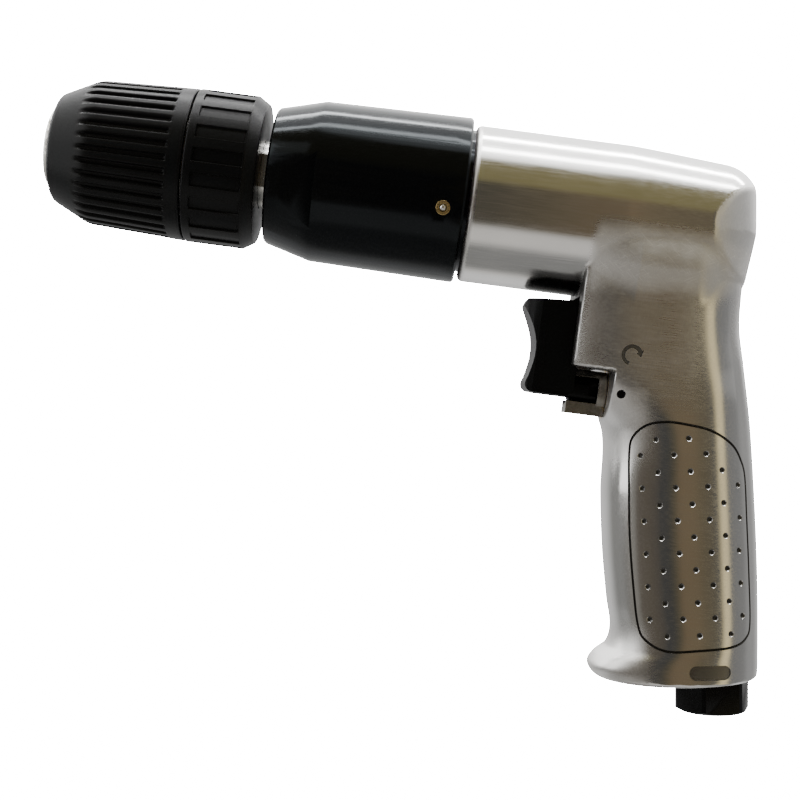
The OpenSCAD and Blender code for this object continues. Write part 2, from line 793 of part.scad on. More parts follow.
module grease_check_ball() {
    ball_r = 0.25 * grease_d;
    color(bright_steel) at_grease() translate([0, 0, grease_top - 0.42 * grease_d + ball_r])
        sphere(r = ball_r);
}

// Gears

module ring_gear() {
    pitch_r = gear_module * ring_teeth / 2;
    color(gear_steel) difference() {
        rod(x_ring_gear, x_motor, case_bore_r);
        gear_blank(x_ring_gear - over, x_motor + over, ring_teeth, pitch_r - addendum,
            pitch_r + dedendum, -backlash, 180 / ring_teeth);
    }
}

module planet(i, x, w) {
    color(gear_steel) rotate([i * third, 0, 0]) translate([0, 0, gear_reach]) difference() {
        spur_gear(x, x + w, planet_teeth, 180 / planet_teeth);
        rod(x - over, x + w + over, planet_pin_d / 2 + running);
    }
}

module planet_pins(x0, x1) {
    color(bright_steel) around(3) translate([0, 0, gear_reach]) rod(x0, x1, planet_pin_d / 2);
}

module output_planet_pins() {
    planet_pins(x_output_carrier, x_output_planets + output_planet_w);
}

module first_planet_pins() {
    planet_pins(x_first_carrier, x_first_planets + first_planet_w);
}

module first_carrier() {
    color(gear_steel) difference() {
        union() {
            spur_gear(x_output_planets, x_first_carrier + over, sun_teeth);
            rod(x_first_carrier, x_first_carrier + first_carrier_w, carrier_r);
        }
        around(3) translate([0, 0, gear_reach]) rod(x_first_carrier - over,
            x_first_carrier + first_carrier_w + over, planet_pin_d / 2);
    }
}

// Air motor

module end_plate(x, pocket_x, web_x) {
    difference() {
        rod(x, x + end_plate_w, cylinder_r);
        rod(x - over, x + end_plate_w + over, rotor_brg_bore / 2 + shaft_gap);
        rod(pocket_x, web_x, rotor_brg_od / 2);
    }
}

module front_end_plate() {
    color(gear_steel) end_plate(x_motor, x_motor - over, x_rotor_brg_front + rotor_brg_w);
}

module rear_end_plate() {
    color(gear_steel) difference() {
        end_plate(x_rear_plate, x_rotor_brg_rear, x_gasket + over);
        translate([0, 0, dowel_r]) rod(x_rear_plate - over, x_rear_plate + dowel_l / 2,
            dowel_d / 2);
    }
}

module cylinder_liner() {
    color(gear_steel) difference() {
        rod(x_cylinder, x_rear_plate, cylinder_r);
        translate([0, 0, -bore_offset])
            rod(x_cylinder - over, x_rear_plate + over, cylinder_bore / 2);
        translate([0, 0, dowel_r]) rod(x_rear_plate - dowel_l / 2, x_rear_plate + over,
            dowel_d / 2);
        for (k = [-2:2]) translate([(x_cylinder + x_rear_plate) / 2 + k * 3 * port_r, 0, -motor_d])
            cylinder(h = motor_d, r = port_r);
    }
}

module cylinder_dowel() {
    color(bright_steel) translate([0, 0, dowel_r])
        rod(x_rear_plate - dowel_l / 2, x_rear_plate + dowel_l / 2, dowel_d / 2);
}

module motor_gasket() {
    color(seal_black) tube(x_gasket, x_motor_end, cylinder_r, rotor_brg_od / 2 - gasket_lap);
}

module rotor() {
    journal_r = rotor_brg_bore / 2;
    x_pinion = x_first_planets + slack;
    color(bright_steel) difference() {
        union() {
            spur_gear(x_pinion, x_motor + over, sun_teeth);
            turned([[x_motor, 0], [x_motor, journal_r], [x_cylinder + slack, journal_r],
                [x_cylinder + slack, rotor_r], [x_rear_plate - slack, rotor_r],
                [x_rear_plate - slack, journal_r],
                [x_rotor_brg_rear + rotor_brg_w, journal_r],
                [x_rotor_brg_rear + rotor_brg_w, 0]]);
        }
        around(vane_count) translate([x_cylinder, -vane_t / 2, rotor_r - vane_h])
            cube([cylinder_l, vane_t, vane_h + over]);
    }
}

module vanes() {
    color(vane_brown) around(vane_count)
        translate([x_cylinder + slack, -vane_t / 2 + running, rotor_r - vane_h + running])
        cube([cylinder_l - 2 * slack, vane_t - 2 * running, vane_h - 2 * running]);
}

module rotor_bearing_inner_rings() {
    color(bright_steel) for (x = [x_rotor_brg_front, x_rotor_brg_rear])
        bearing_inner(x, rotor_brg_bore, rotor_brg_od, rotor_brg_w, rotor_ball_d);
}

module rotor_bearing_outer_rings() {
    color(bright_steel) for (x = [x_rotor_brg_front, x_rotor_brg_rear])
        bearing_outer(x, rotor_brg_bore, rotor_brg_od, rotor_brg_w, rotor_ball_d);
}

module rotor_bearing_balls() {
    color(bright_steel) for (x = [x_rotor_brg_front, x_rotor_brg_rear])
        bearing_balls(x, rotor_brg_bore, rotor_brg_od, rotor_brg_w, rotor_ball_d,
            bearing_ball_count);
}

// Housing

// One ring of points around a grip section
function section_ring(s) =
    let (middle = (s[2] - s[1]) / 2, half = (s[2] + s[1]) / 2)
    [for (j = [0:section_points - 1])
        let (a = (j + 0.5) * 360 / section_points)
        [-(middle + half * power(cos(a), s[4])), s[3] * power(sin(a), s[4]), s[0]]];

// A solid through the sections of a table, along the inlet axis
module loft(rows) {
    at_inlet() polyhedron(
        points = [for (s = rows) each section_ring(s)],
        faces = ring_faces(len(rows), section_points));
}

// The loft, cut square in front of the trigger boss and below it
module grip() {
    difference() {
        loft(refined(grip_sections, section_steps));
        translate([x_boss - grip_l, -grip_w, -boss_drop - over])
            cube([grip_l, 2 * grip_w, grip_l]);
        translate([x_recess - grip_l, -grip_w, -boss_drop - grip_l])
            cube([grip_l, 2 * grip_w, grip_l]);
    }
}

// The barrel, falling a little towards the rear and rounded there in side view and in plan
module barrel() {
    barrel_r = barrel_d / 2;
    end_r = barrel_r - rear_fall;
    fillet_r = min(rear_fillet, x_rear - x_motor_end + end_r - barrel_drop - motor_d / 2);
    intersection() {
        translate([0, 0, -barrel_drop]) turned(concat(
            [[x_housing, 0], [x_housing, barrel_r - metal_edge], [x_housing + metal_edge, barrel_r],
                [x_rear - fall_l, barrel_r]],
            [for (a = [0:10:90]) [x_rear - fillet_r * (1 - sin(a)),
                end_r - fillet_r * (1 - cos(a))]],
            [[x_rear, 0]]));
        union() {
            loft(rear_sections);
            translate([x_housing - over, -barrel_d, -barrel_d])
                cube([x_inlet + (rear_reach - boss_reach) / 2 - x_housing, 2 * barrel_d,
                    2 * barrel_d]);
        }
    }
}

module housing() {
    color(polished_aluminium) difference() {
        union() {
            barrel();
            grip();
        }
        rod(x_housing - over, x_spigot_end, spigot_d / 2 + running);
        rod(x_housing, x_motor_end, motor_d / 2);
        at_valve() rod(x_recess - over, x_chamber_end, bush_r);
        translate([x_boss - over, -pocket_half, -boss_drop - over])
            cube([trigger_seat + trigger_travel + pocket_end_gap + over, 2 * pocket_half,
                boss_drop - trigger_top + pocket_top_gap + over]);
        translate([x_pin, -grip_w, -valve_drop]) rotate([-90, 0, 0])
            cylinder(h = 2 * grip_w, d = pin_d);
        at_inlet(0, valve_drop) cylinder(h = grip_l, d = passage_d);
        at_inlet(0, grip_l - shank_l) cylinder(h = shank_l + over, d = shank_d);
        at_inlet(exhaust_f, exhaust_top) cylinder(h = grip_l, d = exhaust_d);
        translate([x_seat + gallery_inset, 0, -valve_drop])
            cylinder(h = valve_drop - motor_d / 4, d = gallery_d);
    }
}

// Trigger and valves

// Side of the trigger: a hollow front for the finger, with a round lip under it
module trigger_side() {
    hollow_top = trigger_top + tip_drop;
    hollow_h = trigger_h - tip_drop - lip_rise;
    polygon(concat(
        [[x_trigger_rear, -trigger_top], [x_trigger_tip + tip_bevel, -trigger_top - tip_bevel]],
        [for (t = [0:0.1:1]) [x_trigger_tip + lip_lean * t + finger_hollow * sin(180 * t),
            -hollow_top - hollow_h * t]],
        [for (a = [160:22:270]) [x_trigger_tip + lip_set + lip_r * (1 + cos(a)),
            lip_r * (1 + sin(a)) - trigger_bottom]],
        [[x_trigger_rear - lip_r, -trigger_bottom], [x_trigger_rear, lip_r / 2 - trigger_bottom]]));
}

// Top view of the trigger, with its front edges rounded
module trigger_plan() {
    half = trigger_w / 2;
    polygon(concat(
        [[x_trigger_rear, -half]],
        [for (side = [-1, 1], a = [0:15:90])
            let (b = side < 0 ? 90 - a : a)
            [x_trigger_tip + trigger_round * (1 - cos(b)),
                side * (half - trigger_round * (1 - sin(b)))]],
        [[x_trigger_rear, half]]));
}

module trigger() {
    slot_l = trigger_travel + pin_d + 2 * slack;
    slot_h = pin_d + 2 * slack;
    color(black_plastic) difference() {
        union() {
            difference() {
                intersection() {
                    rotate([90, 0, 0]) translate([0, 0, -trigger_w])
                        linear_extrude(2 * trigger_w) trigger_side();
                    translate([0, 0, -2 * valve_drop]) linear_extrude(2 * valve_drop)
                        trigger_plan();
                }
                at_valve() rod(x_boss - lever_strip + trigger_seat, x_recess, lever_pocket_r);
            }
            at_valve() rod(x_boss - lever_strip, x_plunger_end, plunger_r);
        }
        for (side = [-1, 1]) translate([x_pin + pin_d / 2 + slack - slot_l,
            side * (plunger_r - pin_bite + trigger_w) - trigger_w, -valve_drop - slot_h / 2])
            cube([slot_l, 2 * trigger_w, slot_h]);
        translate([x_boss - lever_strip - over, -plunger_d, -trigger_bottom - slack - plunger_d])
            cube([x_recess - x_boss + lever_strip + over, 2 * plunger_d, plunger_d]);
        at_valve() rod(x_plunger_end - stem_grip, x_plunger_end + over, stem_d / 2);
    }
}

module trigger_stem() {
    color(bright_steel) at_valve() rod(x_plunger_end - stem_grip, x_poppet, stem_d / 2);
}

module throttle_valve() {
    color(brass_yellow) at_valve() rod(x_poppet, x_spring, bush_r - poppet_gap);
}

module throttle_valve_seal() {
    color(seal_black) at_valve() tube(x_poppet - slack, x_poppet, bush_r - poppet_gap - slack,
        stem_d / 2 + seal_lip);
}

module throttle_seat() {
    color(brass_yellow) at_valve() tube(x_seat, x_seat + seat_w, bush_r, stem_d / 2 + seat_lip);
}

// One unbroken wire wound along the stem's axis
module throttle_spring() {
    mean_r = bush_r - spring_gap;
    wire_r = spring_wire_d / 2;
    steps = 8 * spring_turns;
    sides = 6;
    rise = spring_l - spring_wire_d;
    color(gear_steel) at_valve() polyhedron(
        points = [for (i = [0:steps], j = [0:sides - 1])
            let (a = 360 * spring_turns * i / steps, b = 360 * j / sides)
            [x_spring + wire_r + rise * i / steps + wire_r * sin(b),
                (mean_r + wire_r * cos(b)) * cos(a), (mean_r + wire_r * cos(b)) * sin(a)]],
        faces = ring_faces(steps + 1, sides));
}

module reverse_lever() {
    tab_low = collar_out_r + lever_tab_h - collar_wall;
    x_end = x_recess - lever_gap;
    color(dark_grey) at_valve() difference() {
        union() {
            rod(x_end - lever_flange, x_end, collar_out_r);
            intersection() {
                rod(x_recess - lever_strip, x_end, collar_out_r);
                translate([x_recess - lever_tab_l, -lever_w / 2, 0])
                    cube([lever_tab_l, lever_w, 2 * collar_out_r]);
            }
            translate([x_recess - lever_tab_l, -lever_w / 2, -tab_low])
                cube([lever_tab_l - lever_gap, lever_w, tab_low]);
        }
        rod(x_recess - 2 * lever_tab_l, x_recess + over, collar_in_r);
        translate([x_recess - 2 * lever_tab_l, -lever_w, 0])
            cube([2 * lever_tab_l - lever_strip, 2 * lever_w, 2 * collar_out_r]);
        translate([x_recess - 2 * lever_tab_l, -lever_w, -lever_tab_top])
            cube([2 * lever_tab_l - lever_flange - lever_gap, 2 * lever_w,
                lever_tab_top + lever_strip_rise]);
    }
}

module reverse_valve() {
    sweep = lever_swing + window_angle;
    window = pin_d + 2 * slack;
    reach = 2 * valve_r;
    color(gear_steel) at_valve() difference() {
        rod(x_recess, x_valve_end, valve_r);
        rod(x_recess - over, x_plunger_bore_end, plunger_r + valve_gap);
        rod(x_recess, x_valve_end + over, stem_d / 2 + valve_gap);
        for (side = [-1, 1]) translate([x_pin - window / 2, 0, 0]) rotate([90, 0, 90])
            linear_extrude(window) polygon([[0, 0], [side * reach, -reach * tan(sweep)],
                [side * reach, reach * tan(sweep)]]);
        o_rings(o_ring_groove);
    }
}

// The two rings on the reverse valve, or their grooves with some room around them
module o_rings(room = 0) {
    for (x = [x_plunger_bore_end - o_ring_front, x_valve_end - o_ring_rear])
        translate([x, 0, 0]) rotate([0, 90, 0]) rotate_extrude()
        translate([valve_r + running - o_ring_r - o_ring_groove, 0])
        circle(r = o_ring_r + room);
}

module valve_o_rings() {
    color(seal_black) at_valve() o_rings();
}

module reverse_bush() {
    color(bronze) at_valve() difference() {
        tube(x_recess, x_seat, bush_r, valve_r + running);
        translate([x_pin, -valve_d, 0]) rotate([-90, 0, 0]) cylinder(h = 2 * valve_d, d = pin_d);
    }
}

// Two short pins that run in the plunger's side grooves
module retaining_pin() {
    inner = plunger_r - pin_bite + slack;
    color(black_oxide) for (side = [-1, 1]) translate([x_pin, side * inner, -valve_drop])
        rotate([-90 * side, 0, 0]) cylinder(h = grip_half - pin_sink - inner, d = pin_d);
}

// Air inlet and exhaust

module air_inlet_bushing() {
    color(black_oxide) at_inlet(0, grip_l) difference() {
        union() {
            translate([0, 0, -shank_l]) cylinder(h = shank_l + over, d = shank_d);
            intersection() {
                rotate(hex_turn) cylinder(h = inlet_l, d = inlet_flats / cos(30), $fn = 6);
                rotate_extrude() polygon([[0, 0], [inlet_flats * 0.56, 0],
                    [inlet_flats * 0.56, inlet_l - inlet_edge], [inlet_flats * 0.48, inlet_l],
                    [0, inlet_l]]);
            }
        }
        translate([0, 0, -shank_l - over]) cylinder(h = shank_l + inlet_l + 2 * over, r = inlet_r);
    }
}

module inlet_screen() {
    color(bright_steel) at_inlet(0, grip_l - shank_l - screen_t) difference() {
        cylinder(h = screen_t, d = passage_d);
        for (i = [-2:2], j = [-2:2]) if (abs(i) + abs(j) < 4)
            translate([screen_pitch * i, screen_pitch * j, -over])
            cylinder(h = screen_t + 2 * over, d = screen_hole_d);
    }
}

module muffler_felt() {
    color(felt_grey) at_inlet(exhaust_f, grip_l - cover_t - felt_l)
        cylinder(h = felt_l, d = exhaust_d - slack);
}

module exhaust_cover() {
    color(black_oxide) at_inlet(exhaust_f, grip_l - cover_t) difference() {
        cylinder(h = cover_t, d = exhaust_d);
        for (i = [-1:1])
            translate([cover_pitch * i - cover_slot / 2, -0.3 * exhaust_d, -over])
            cube([cover_slot, 0.6 * exhaust_d, cover_t + 2 * over]);
    }
}

chuck_body();
chuck_sleeve();
chuck_nut();
chuck_thrust_balls();
chuck_rear_ring();
chuck_screw();
jaw(0);  // jaw_1
jaw(1);  // jaw_2
jaw(2);  // jaw_3
spindle();
spindle_bearing_inner_rings();
spindle_bearing_outer_rings();
spindle_bearing_balls();
bearing_spacer();
bearing_clip();
spindle_seal();
gear_case();
grease_fitting();
grease_check_ball();
ring_gear();
planet(0, x_output_planets, output_planet_w);  // output_planet_1
planet(1, x_output_planets, output_planet_w);  // output_planet_2
planet(2, x_output_planets, output_planet_w);  // output_planet_3
output_planet_pins();
first_carrier();
planet(0, x_first_planets, first_planet_w);  // first_planet_1
planet(1, x_first_planets, first_planet_w);  // first_planet_2
planet(2, x_first_planets, first_planet_w);  // first_planet_3
first_planet_pins();
front_end_plate();
cylinder_liner();  // cylinder
rear_end_plate();
cylinder_dowel();
motor_gasket();
rotor();
vanes();
rotor_bearing_inner_rings();
rotor_bearing_outer_rings();
rotor_bearing_balls();
housing();
trigger();
trigger_stem();
throttle_valve();
throttle_valve_seal();
throttle_seat();
throttle_spring();
reverse_lever();
reverse_valve();
valve_o_rings();
reverse_bush();
retaining_pin();
air_inlet_bushing();
inlet_screen();
muffler_felt();
exhaust_cover();
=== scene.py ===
"""Looks of the air drill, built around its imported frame.

Sizes are in millimetres, in the frame of the solids: X runs from the nose of the chuck to the
back of the drill, Z points up, and the picture is taken from the -Y side.
"""

import itertools
import json
import logging
import math
from collections.abc import Callable
from dataclasses import dataclass, field
from enum import Enum

import bmesh
import bpy
import numpy as np
from mathutils import Matrix, Vector


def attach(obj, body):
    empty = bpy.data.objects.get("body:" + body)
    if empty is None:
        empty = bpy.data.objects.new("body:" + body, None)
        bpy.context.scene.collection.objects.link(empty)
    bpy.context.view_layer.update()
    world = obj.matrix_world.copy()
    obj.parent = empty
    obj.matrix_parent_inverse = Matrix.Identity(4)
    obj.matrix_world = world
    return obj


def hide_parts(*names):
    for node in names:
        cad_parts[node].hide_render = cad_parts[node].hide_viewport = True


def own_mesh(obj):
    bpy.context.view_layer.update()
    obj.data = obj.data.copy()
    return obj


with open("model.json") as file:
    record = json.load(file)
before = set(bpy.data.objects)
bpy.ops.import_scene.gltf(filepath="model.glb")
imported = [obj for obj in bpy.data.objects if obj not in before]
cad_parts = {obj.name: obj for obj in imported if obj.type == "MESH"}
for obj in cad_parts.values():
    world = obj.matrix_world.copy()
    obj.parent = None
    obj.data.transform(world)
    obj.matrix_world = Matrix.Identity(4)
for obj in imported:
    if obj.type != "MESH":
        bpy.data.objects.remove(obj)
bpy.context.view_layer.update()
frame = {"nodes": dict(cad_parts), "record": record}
LOG = logging.getLogger("air_drill")
MM = 0.001
VALVE_Z = -49.2
Triple = tuple[float, float, float]
Tree = bpy.types.NodeTree
Socket = bpy.types.NodeSocket
Piece = bpy.types.Object


class Slot(Enum):
    """The record's material slots."""

    ALUMINIUM = "polished_aluminium"
    CASE = "black_oxide_case"
    PLASTIC = "black_plastic"
    TRIGGER = "trigger_plastic"
    LEVER = "lever_steel"
    OXIDE = "black_oxide_steel"
    BRASS = "brass"
    RUBBER = "seal_rubber"
    FELT = "felt"
    VANE = "vane_composite"
    STEEL = "bright_steel"
    GEAR = "gear_steel"


class Side(Enum):
    """The two sides of the drill, as the sign of Y."""

    NEAR = -1
    FAR = 1


@dataclass(frozen=True)
class Finish:
    """A surface finish, with grain in its colour, its gloss and its relief.

    The grain is a noise with so many waves in a metre along X, Y and Z, and the mottle is a
    slower one on top of it.
    """

    slot: Slot
    colour: Triple
    metallic: float = 0.0
    roughness: float = 0.4
    grain: Triple = (2500.0, 2500.0, 2500.0)
    mottle: float = 70.0
    tone: float = 0.12
    gloss: float = 0.08
    relief_mm: float = 0.004
    specular: float = 0.5
    tint: Triple = (1.0, 1.0, 1.0)

    def material(self) -> bpy.types.Material:
        """Returns the finish as a material, made on the first call."""
        name = self.slot.value + "_look"
        return bpy.data.materials.get(name) or self._build(name)

    def _build(self, name: str) -> bpy.types.Material:
        """Builds the nodes of the finish.

        Args:
            name: The material's name.

        Returns:
            The new material.
        """
        made = bpy.data.materials.new(name)
        made.use_nodes = True
        tree = made.node_tree
        shader = tree.nodes["Principled BSDF"]
        shader.inputs["Metallic"].default_value = self.metallic
        shader.inputs["Specular IOR Level"].default_value = self.specular
        shader.inputs["Specular Tint"].default_value = (*self.tint, 1.0)
        fine = noise(tree, self.grain, 4.0)
        slow = noise(tree, (self.mottle,) * 3, 3.0)
        both = math_node(tree, "MULTIPLY", math_node(tree, "ADD", fine, slow), 0.5)
        dark = [c * (1 - self.tone) for c in self.colour]
        light = [c * (1 + self.tone) for c in self.colour]
        colour = mix_colour(tree, spread(tree, both, 0.35, 0.65), dark, light)
        rough = spread(tree, fine, 0.3, 0.7, self.roughness - self.gloss,
                       self.roughness + self.gloss)
        self._finish_surface(tree, shader, colour, rough, slow)
        bump = tree.nodes.new("ShaderNodeBump")
        bump.inputs["Distance"].default_value = self.relief_mm * MM
        tree.links.new(fine, bump.inputs["Height"])
        tree.links.new(bump.outputs["Normal"], shader.inputs["Normal"])
        return made

    def _finish_surface(self, tree: Tree, shader: bpy.types.Node, colour: Socket, rough: Socket,
                        slow: Socket) -> None:
        """Joins the colour and the gloss to the shader."""
        tree.links.new(colour, shader.inputs["Base Color"])
        tree.links.new(rough, shader.inputs["Roughness"])


@dataclass(frozen=True)
class CastFinish(Finish):
    """Polished casting: satin where a piece's satin attribute says so, darkened by painted shade in
    its marks.
    """

    satin_rough: float = 0.62
    # Colour of the painted shade in the recessed marks and on the boss's front, and the roughness
    # it adds
    painted_shade: Triple = (0.035, 0.033, 0.03)
    scratch: Triple = (0.93, 0.91, 0.87)
    scratch_scale: Triple = (260.0, 500.0, 5200.0)
    scratch_turns: tuple[float, ...] = (0.7, -0.5)
    scratch_edge: tuple[float, float] = (0.6, 0.7)
    scratch_share: float = 0.5
    painted_shade_rough: float = 0.3

    def _finish_surface(self, tree: Tree, shader: bpy.types.Node, colour: Socket, rough: Socket,
                        slow: Socket) -> None:
        """Joins the colour and the gloss to the shader through the piece's attributes.

        Args:
            tree: The material's node tree.
            shader: The shader to join to.
            colour: The colour of the bare casting.
            rough: Its roughness.
            slow: The mottle.
        """
        satin = attribute(tree, "satin")
        # Painted shade: this attribute darkens the recessed marks and the boss's front face
        painted_shade = attribute(tree, "painted_shade")
        patchy = math_node(tree, "MULTIPLY", satin, spread(tree, slow, 0.3, 0.6, 0.75, 1.0))
        rough = math_node(tree, "MULTIPLY_ADD", patchy, self.satin_rough - self.roughness, rough)
        rough = math_node(tree, "MULTIPLY_ADD", painted_shade, self.painted_shade_rough, rough)
        scratched = math_node(tree, "MULTIPLY", self._scratches(tree), self.scratch_share)
        worn = math_node(tree, "MULTIPLY", math_node(tree, "POWER", satin, 2.0), scratched)
        colour = mix_colour(tree, worn, colour, self.scratch)
        tree.links.new(mix_colour(tree, painted_shade, colour, self.painted_shade), shader.inputs["Base Color"])
        tree.links.new(rough, shader.inputs["Roughness"])

    def _scratches(self, tree: Tree) -> Socket:
        """Returns the share of fine crossing scratches at a place."""
        return math_node(tree, "MAXIMUM", *[
            spread(tree, noise(tree, self.scratch_scale, 2.0, turn, 0.6), *self.scratch_edge)
            for turn in self.scratch_turns])


def noise(tree: Tree, waves: Triple, detail: float, turn: float = 0.0,
          warp: float = 0.0) -> Socket:
    """Adds a noise on the piece's own coordinates.

    Args:
        tree: The material's node tree.
        waves: Its waves in a metre along X, Y and Z.
        detail: Its number of finer layers.
        turn: Its turn about Y.
        warp: How much its waves wander.

    Returns:
        The noise.
    """
    place = tree.nodes.new("ShaderNodeTexCoord").outputs["Object"]
    mapping = tree.nodes.new("ShaderNodeMapping")
    mapping.vector_type = "TEXTURE"
    mapping.inputs["Rotation"].default_value = (0.0, turn, 0.0)
    mapping.inputs["Scale"].default_value = [1 / count for count in waves]
    made = tree.nodes.new("ShaderNodeTexNoise")
    for label, value in (("Scale", 1.0), ("Detail", detail), ("Distortion", warp)):
        made.inputs[label].default_value = value
    tree.links.new(place, mapping.inputs["Vector"])
    tree.links.new(mapping.outputs["Vector"], made.inputs["Vector"])
    return made.outputs["Fac"]


def math_node(tree: Tree, operation: str, *values: Socket | float) -> Socket:
    """Adds a math node.

    Args:
        tree: The node tree.
        operation: The math operation.
        values: Sockets or numbers.

    Returns:
        The node's output.
    """
    node = tree.nodes.new("ShaderNodeMath")
    node.operation = operation
    for socket, value in zip(node.inputs, values):
        join(tree, value, socket)
    return node.outputs[0]


def join(tree: Tree, value: Socket | float | Triple, socket: Socket) -> None:
    """Links a socket to an input, or sets a number or colour on it.

    Args:
        tree: The node tree.
        value: The socket, number or colour.
        socket: The input.
    """
    if isinstance(value, Socket):
        tree.links.new(value, socket)
    elif socket.type == "RGBA":
        socket.default_value = (*value, 1.0)
    else:
        socket.default_value = value


def spread(tree: Tree, value: Socket, low: Socket | float, high: Socket | float,
           out_low: float = 0.0, out_high: float = 1.0) -> Socket:
    """Maps a range of a value smoothly to another range.

    Args:
        tree: The node tree.
        value: The socket to map.
        low: Start of the range.
        high: End of the range.
        out_low: Result at the start.
        out_high: Result at the end.

    Returns:
        The mapped output.
    """
    node = tree.nodes.new("ShaderNodeMapRange")
    node.interpolation_type = "SMOOTHSTEP"
    for socket, number in zip(node.inputs, (value, low, high, out_low, out_high)):
        join(tree, number, socket)
    return node.outputs[0]


def mix_colour(tree: Tree, factor: Socket, low: Socket | Triple,
               high: Socket | Triple) -> Socket:
    """Mixes two colours.

    Args:
        tree: The node tree.
        factor: The share of the second colour.
        low: The first colour, or its socket.
        high: The second colour, or its socket.

    Returns:
        The mixed colour.
    """
    node = tree.nodes.new("ShaderNodeMix")
    node.data_type = "RGBA"
    for index, value in ((0, factor), (6, low), (7, high)):
        join(tree, value, node.inputs[index])
    return node.outputs[2]


def attribute(tree: Tree, name: str) -> Socket:
    """Adds a node that reads a number attribute of the mesh.

    Args:
        tree: The node tree.
        name: The attribute's name.

    Returns:
        The node's output.
    """
    node = tree.nodes.new("ShaderNodeAttribute")
    node.attribute_name = name
    return node.outputs["Fac"]


# Slot, colour, metallic, roughness, grain, mottle, tone, gloss, relief, specular and tint
FINISHES: dict[Slot, Finish] = {finish.slot: finish for finish in (
    CastFinish(Slot.ALUMINIUM, (0.72, 0.71, 0.69), 1.0, 0.17, (120.0, 5000.0, 5000.0), 60.0,
               0.05, 0.05, 0.002),
    Finish(Slot.CASE, (0.002, 0.002, 0.0022), 0.0, 0.13, (300.0, 3000.0, 3000.0), 50.0, 0.15,
           0.03, 0.001, 0.17, (0.82, 0.93, 1.0)),
    Finish(Slot.PLASTIC, (0.003, 0.003, 0.0032), 0.0, 0.36, (4000.0,) * 3, 90.0, 0.15, 0.06,
           0.006, 0.11),
    Finish(Slot.TRIGGER, (0.003, 0.003, 0.0032), 0.0, 0.38, (4000.0,) * 3, 90.0, 0.15, 0.06,
           0.006, 0.11),
    Finish(Slot.LEVER, (0.3, 0.29, 0.26), 1.0, 0.45, (3000.0,) * 3, 200.0, 0.15, 0.06, 0.006),
    Finish(Slot.OXIDE, (0.002, 0.002, 0.0022), 0.0, 0.3, (3000.0,) * 3, 90.0, 0.15, 0.06,
           0.004, 0.16),
    Finish(Slot.BRASS, (0.6, 0.45, 0.2), 1.0, 0.3, (3000.0,) * 3, 300.0, 0.15, 0.06, 0.004),
    Finish(Slot.RUBBER, (0.012, 0.012, 0.012), 0.0, 0.7, (3000.0,) * 3, 90.0, 0.15, 0.06, 0.008),
    Finish(Slot.FELT, (0.42, 0.39, 0.33), 0.0, 0.95, (6000.0,) * 3, 300.0, 0.3, 0.03, 0.08),
    Finish(Slot.VANE, (0.22, 0.12, 0.06), 0.0, 0.55, (400.0, 4000.0, 4000.0), 200.0, 0.3, 0.05,
           0.01),
    Finish(Slot.STEEL, (0.76, 0.75, 0.71), 1.0, 0.24, (4000.0, 300.0, 300.0), 90.0, 0.06, 0.05,
           0.003),
    Finish(Slot.GEAR, (0.4, 0.4, 0.42), 1.0, 0.33, (3000.0,) * 3, 90.0, 0.1, 0.06, 0.003),
)}


def linked(name: str, data: bpy.types.ID) -> Piece:
    """Makes an object and links it to the scene.

    Args:
        name: The object's name.
        data: Its mesh, camera or light.

    Returns:
        The new object.
    """
    made = bpy.data.objects.new(name, data)
    bpy.context.scene.collection.objects.link(made)
    return made


def mesh_piece(name: str, points: np.ndarray, faces: list) -> Piece:
    """Makes an object from points in millimetres.

    Args:
        name: The object's name.
        points: One row of X, Y, Z for each point.
        faces: Point numbers of each face.

    Returns:
        The new object, linked to the scene.
    """
    mesh = bpy.data.meshes.new(name)
    mesh.from_pydata((np.asarray(points, float) * MM).tolist(), [], faces)
    mesh.validate()
    return linked(name, mesh)


def applied(piece: Piece) -> Piece:
    """Turns a piece with modifiers into a plain mesh.

    Args:
        piece: The object to evaluate.

    Returns:
        The same object, with its new mesh and no modifiers.
    """
    graph = bpy.context.evaluated_depsgraph_get()
    mesh = bpy.data.meshes.new_from_object(piece.evaluated_get(graph))
    piece.modifiers.clear()
    piece.data = mesh
    return piece


def carve(piece: Piece, cutters: list[Piece]) -> Piece:
    """Cuts closed meshes out of a piece, and removes them.

    Args:
        piece: The closed mesh to cut.
        cutters: The closed meshes to take away.

    Returns:
        The piece.
    """
    for cutter in cutters:
        cut = piece.modifiers.new("cut", "BOOLEAN")
        cut.operation = "DIFFERENCE"
        cut.solver = "MANIFOLD"
        cut.object = cutter
        applied(piece)
        bpy.data.objects.remove(cutter)
    return piece


def dressed(piece: Piece, slot: Slot, body: str, *nodes: str) -> Piece:
    """Gives a finished piece its finish, its body and the solids that it stands for.

    Args:
        piece: The finished piece.
        slot: Its material slot.
        body: The body that it rides on.
        nodes: The solids that it replaces.

    Returns:
        The piece.
    """
    piece.data.materials.clear()
    piece.data.materials.append(FINISHES[slot].material())
    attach(piece, body)
    if nodes:
        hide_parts(*nodes)
    LOG.info("%s: %d faces on %s", piece.name, len(piece.data.polygons), body)
    return piece


def rod(start: tuple, end: tuple, radius: float, steps: int = 64) -> Piece:
    """Makes a closed cylinder to cut with.

    Args:
        start: Centre of one end.
        end: Centre of the other end.
        radius: Its radius.
        steps: Its number of sides.

    Returns:
        The cylinder.
    """
    a, b = np.array(start, float), np.array(end, float)
    along = (b - a) / np.linalg.norm(b - a)
    across = np.cross(along, (0.0, 1.0, 0.0) if abs(along[1]) < 0.9 else (1.0, 0.0, 0.0))
    across /= np.linalg.norm(across)
    angle = np.arange(steps) * 2 * math.pi / steps
    ring = radius * (np.outer(np.cos(angle), across)
                     + np.outer(np.sin(angle), np.cross(along, across)))
    sides = [(i, (i + 1) % steps, steps + (i + 1) % steps, steps + i) for i in range(steps)]
    ends = [tuple(range(steps))[::-1], tuple(range(steps, 2 * steps))]
    return mesh_piece("rod", np.vstack([a + ring, b + ring]), sides + ends)


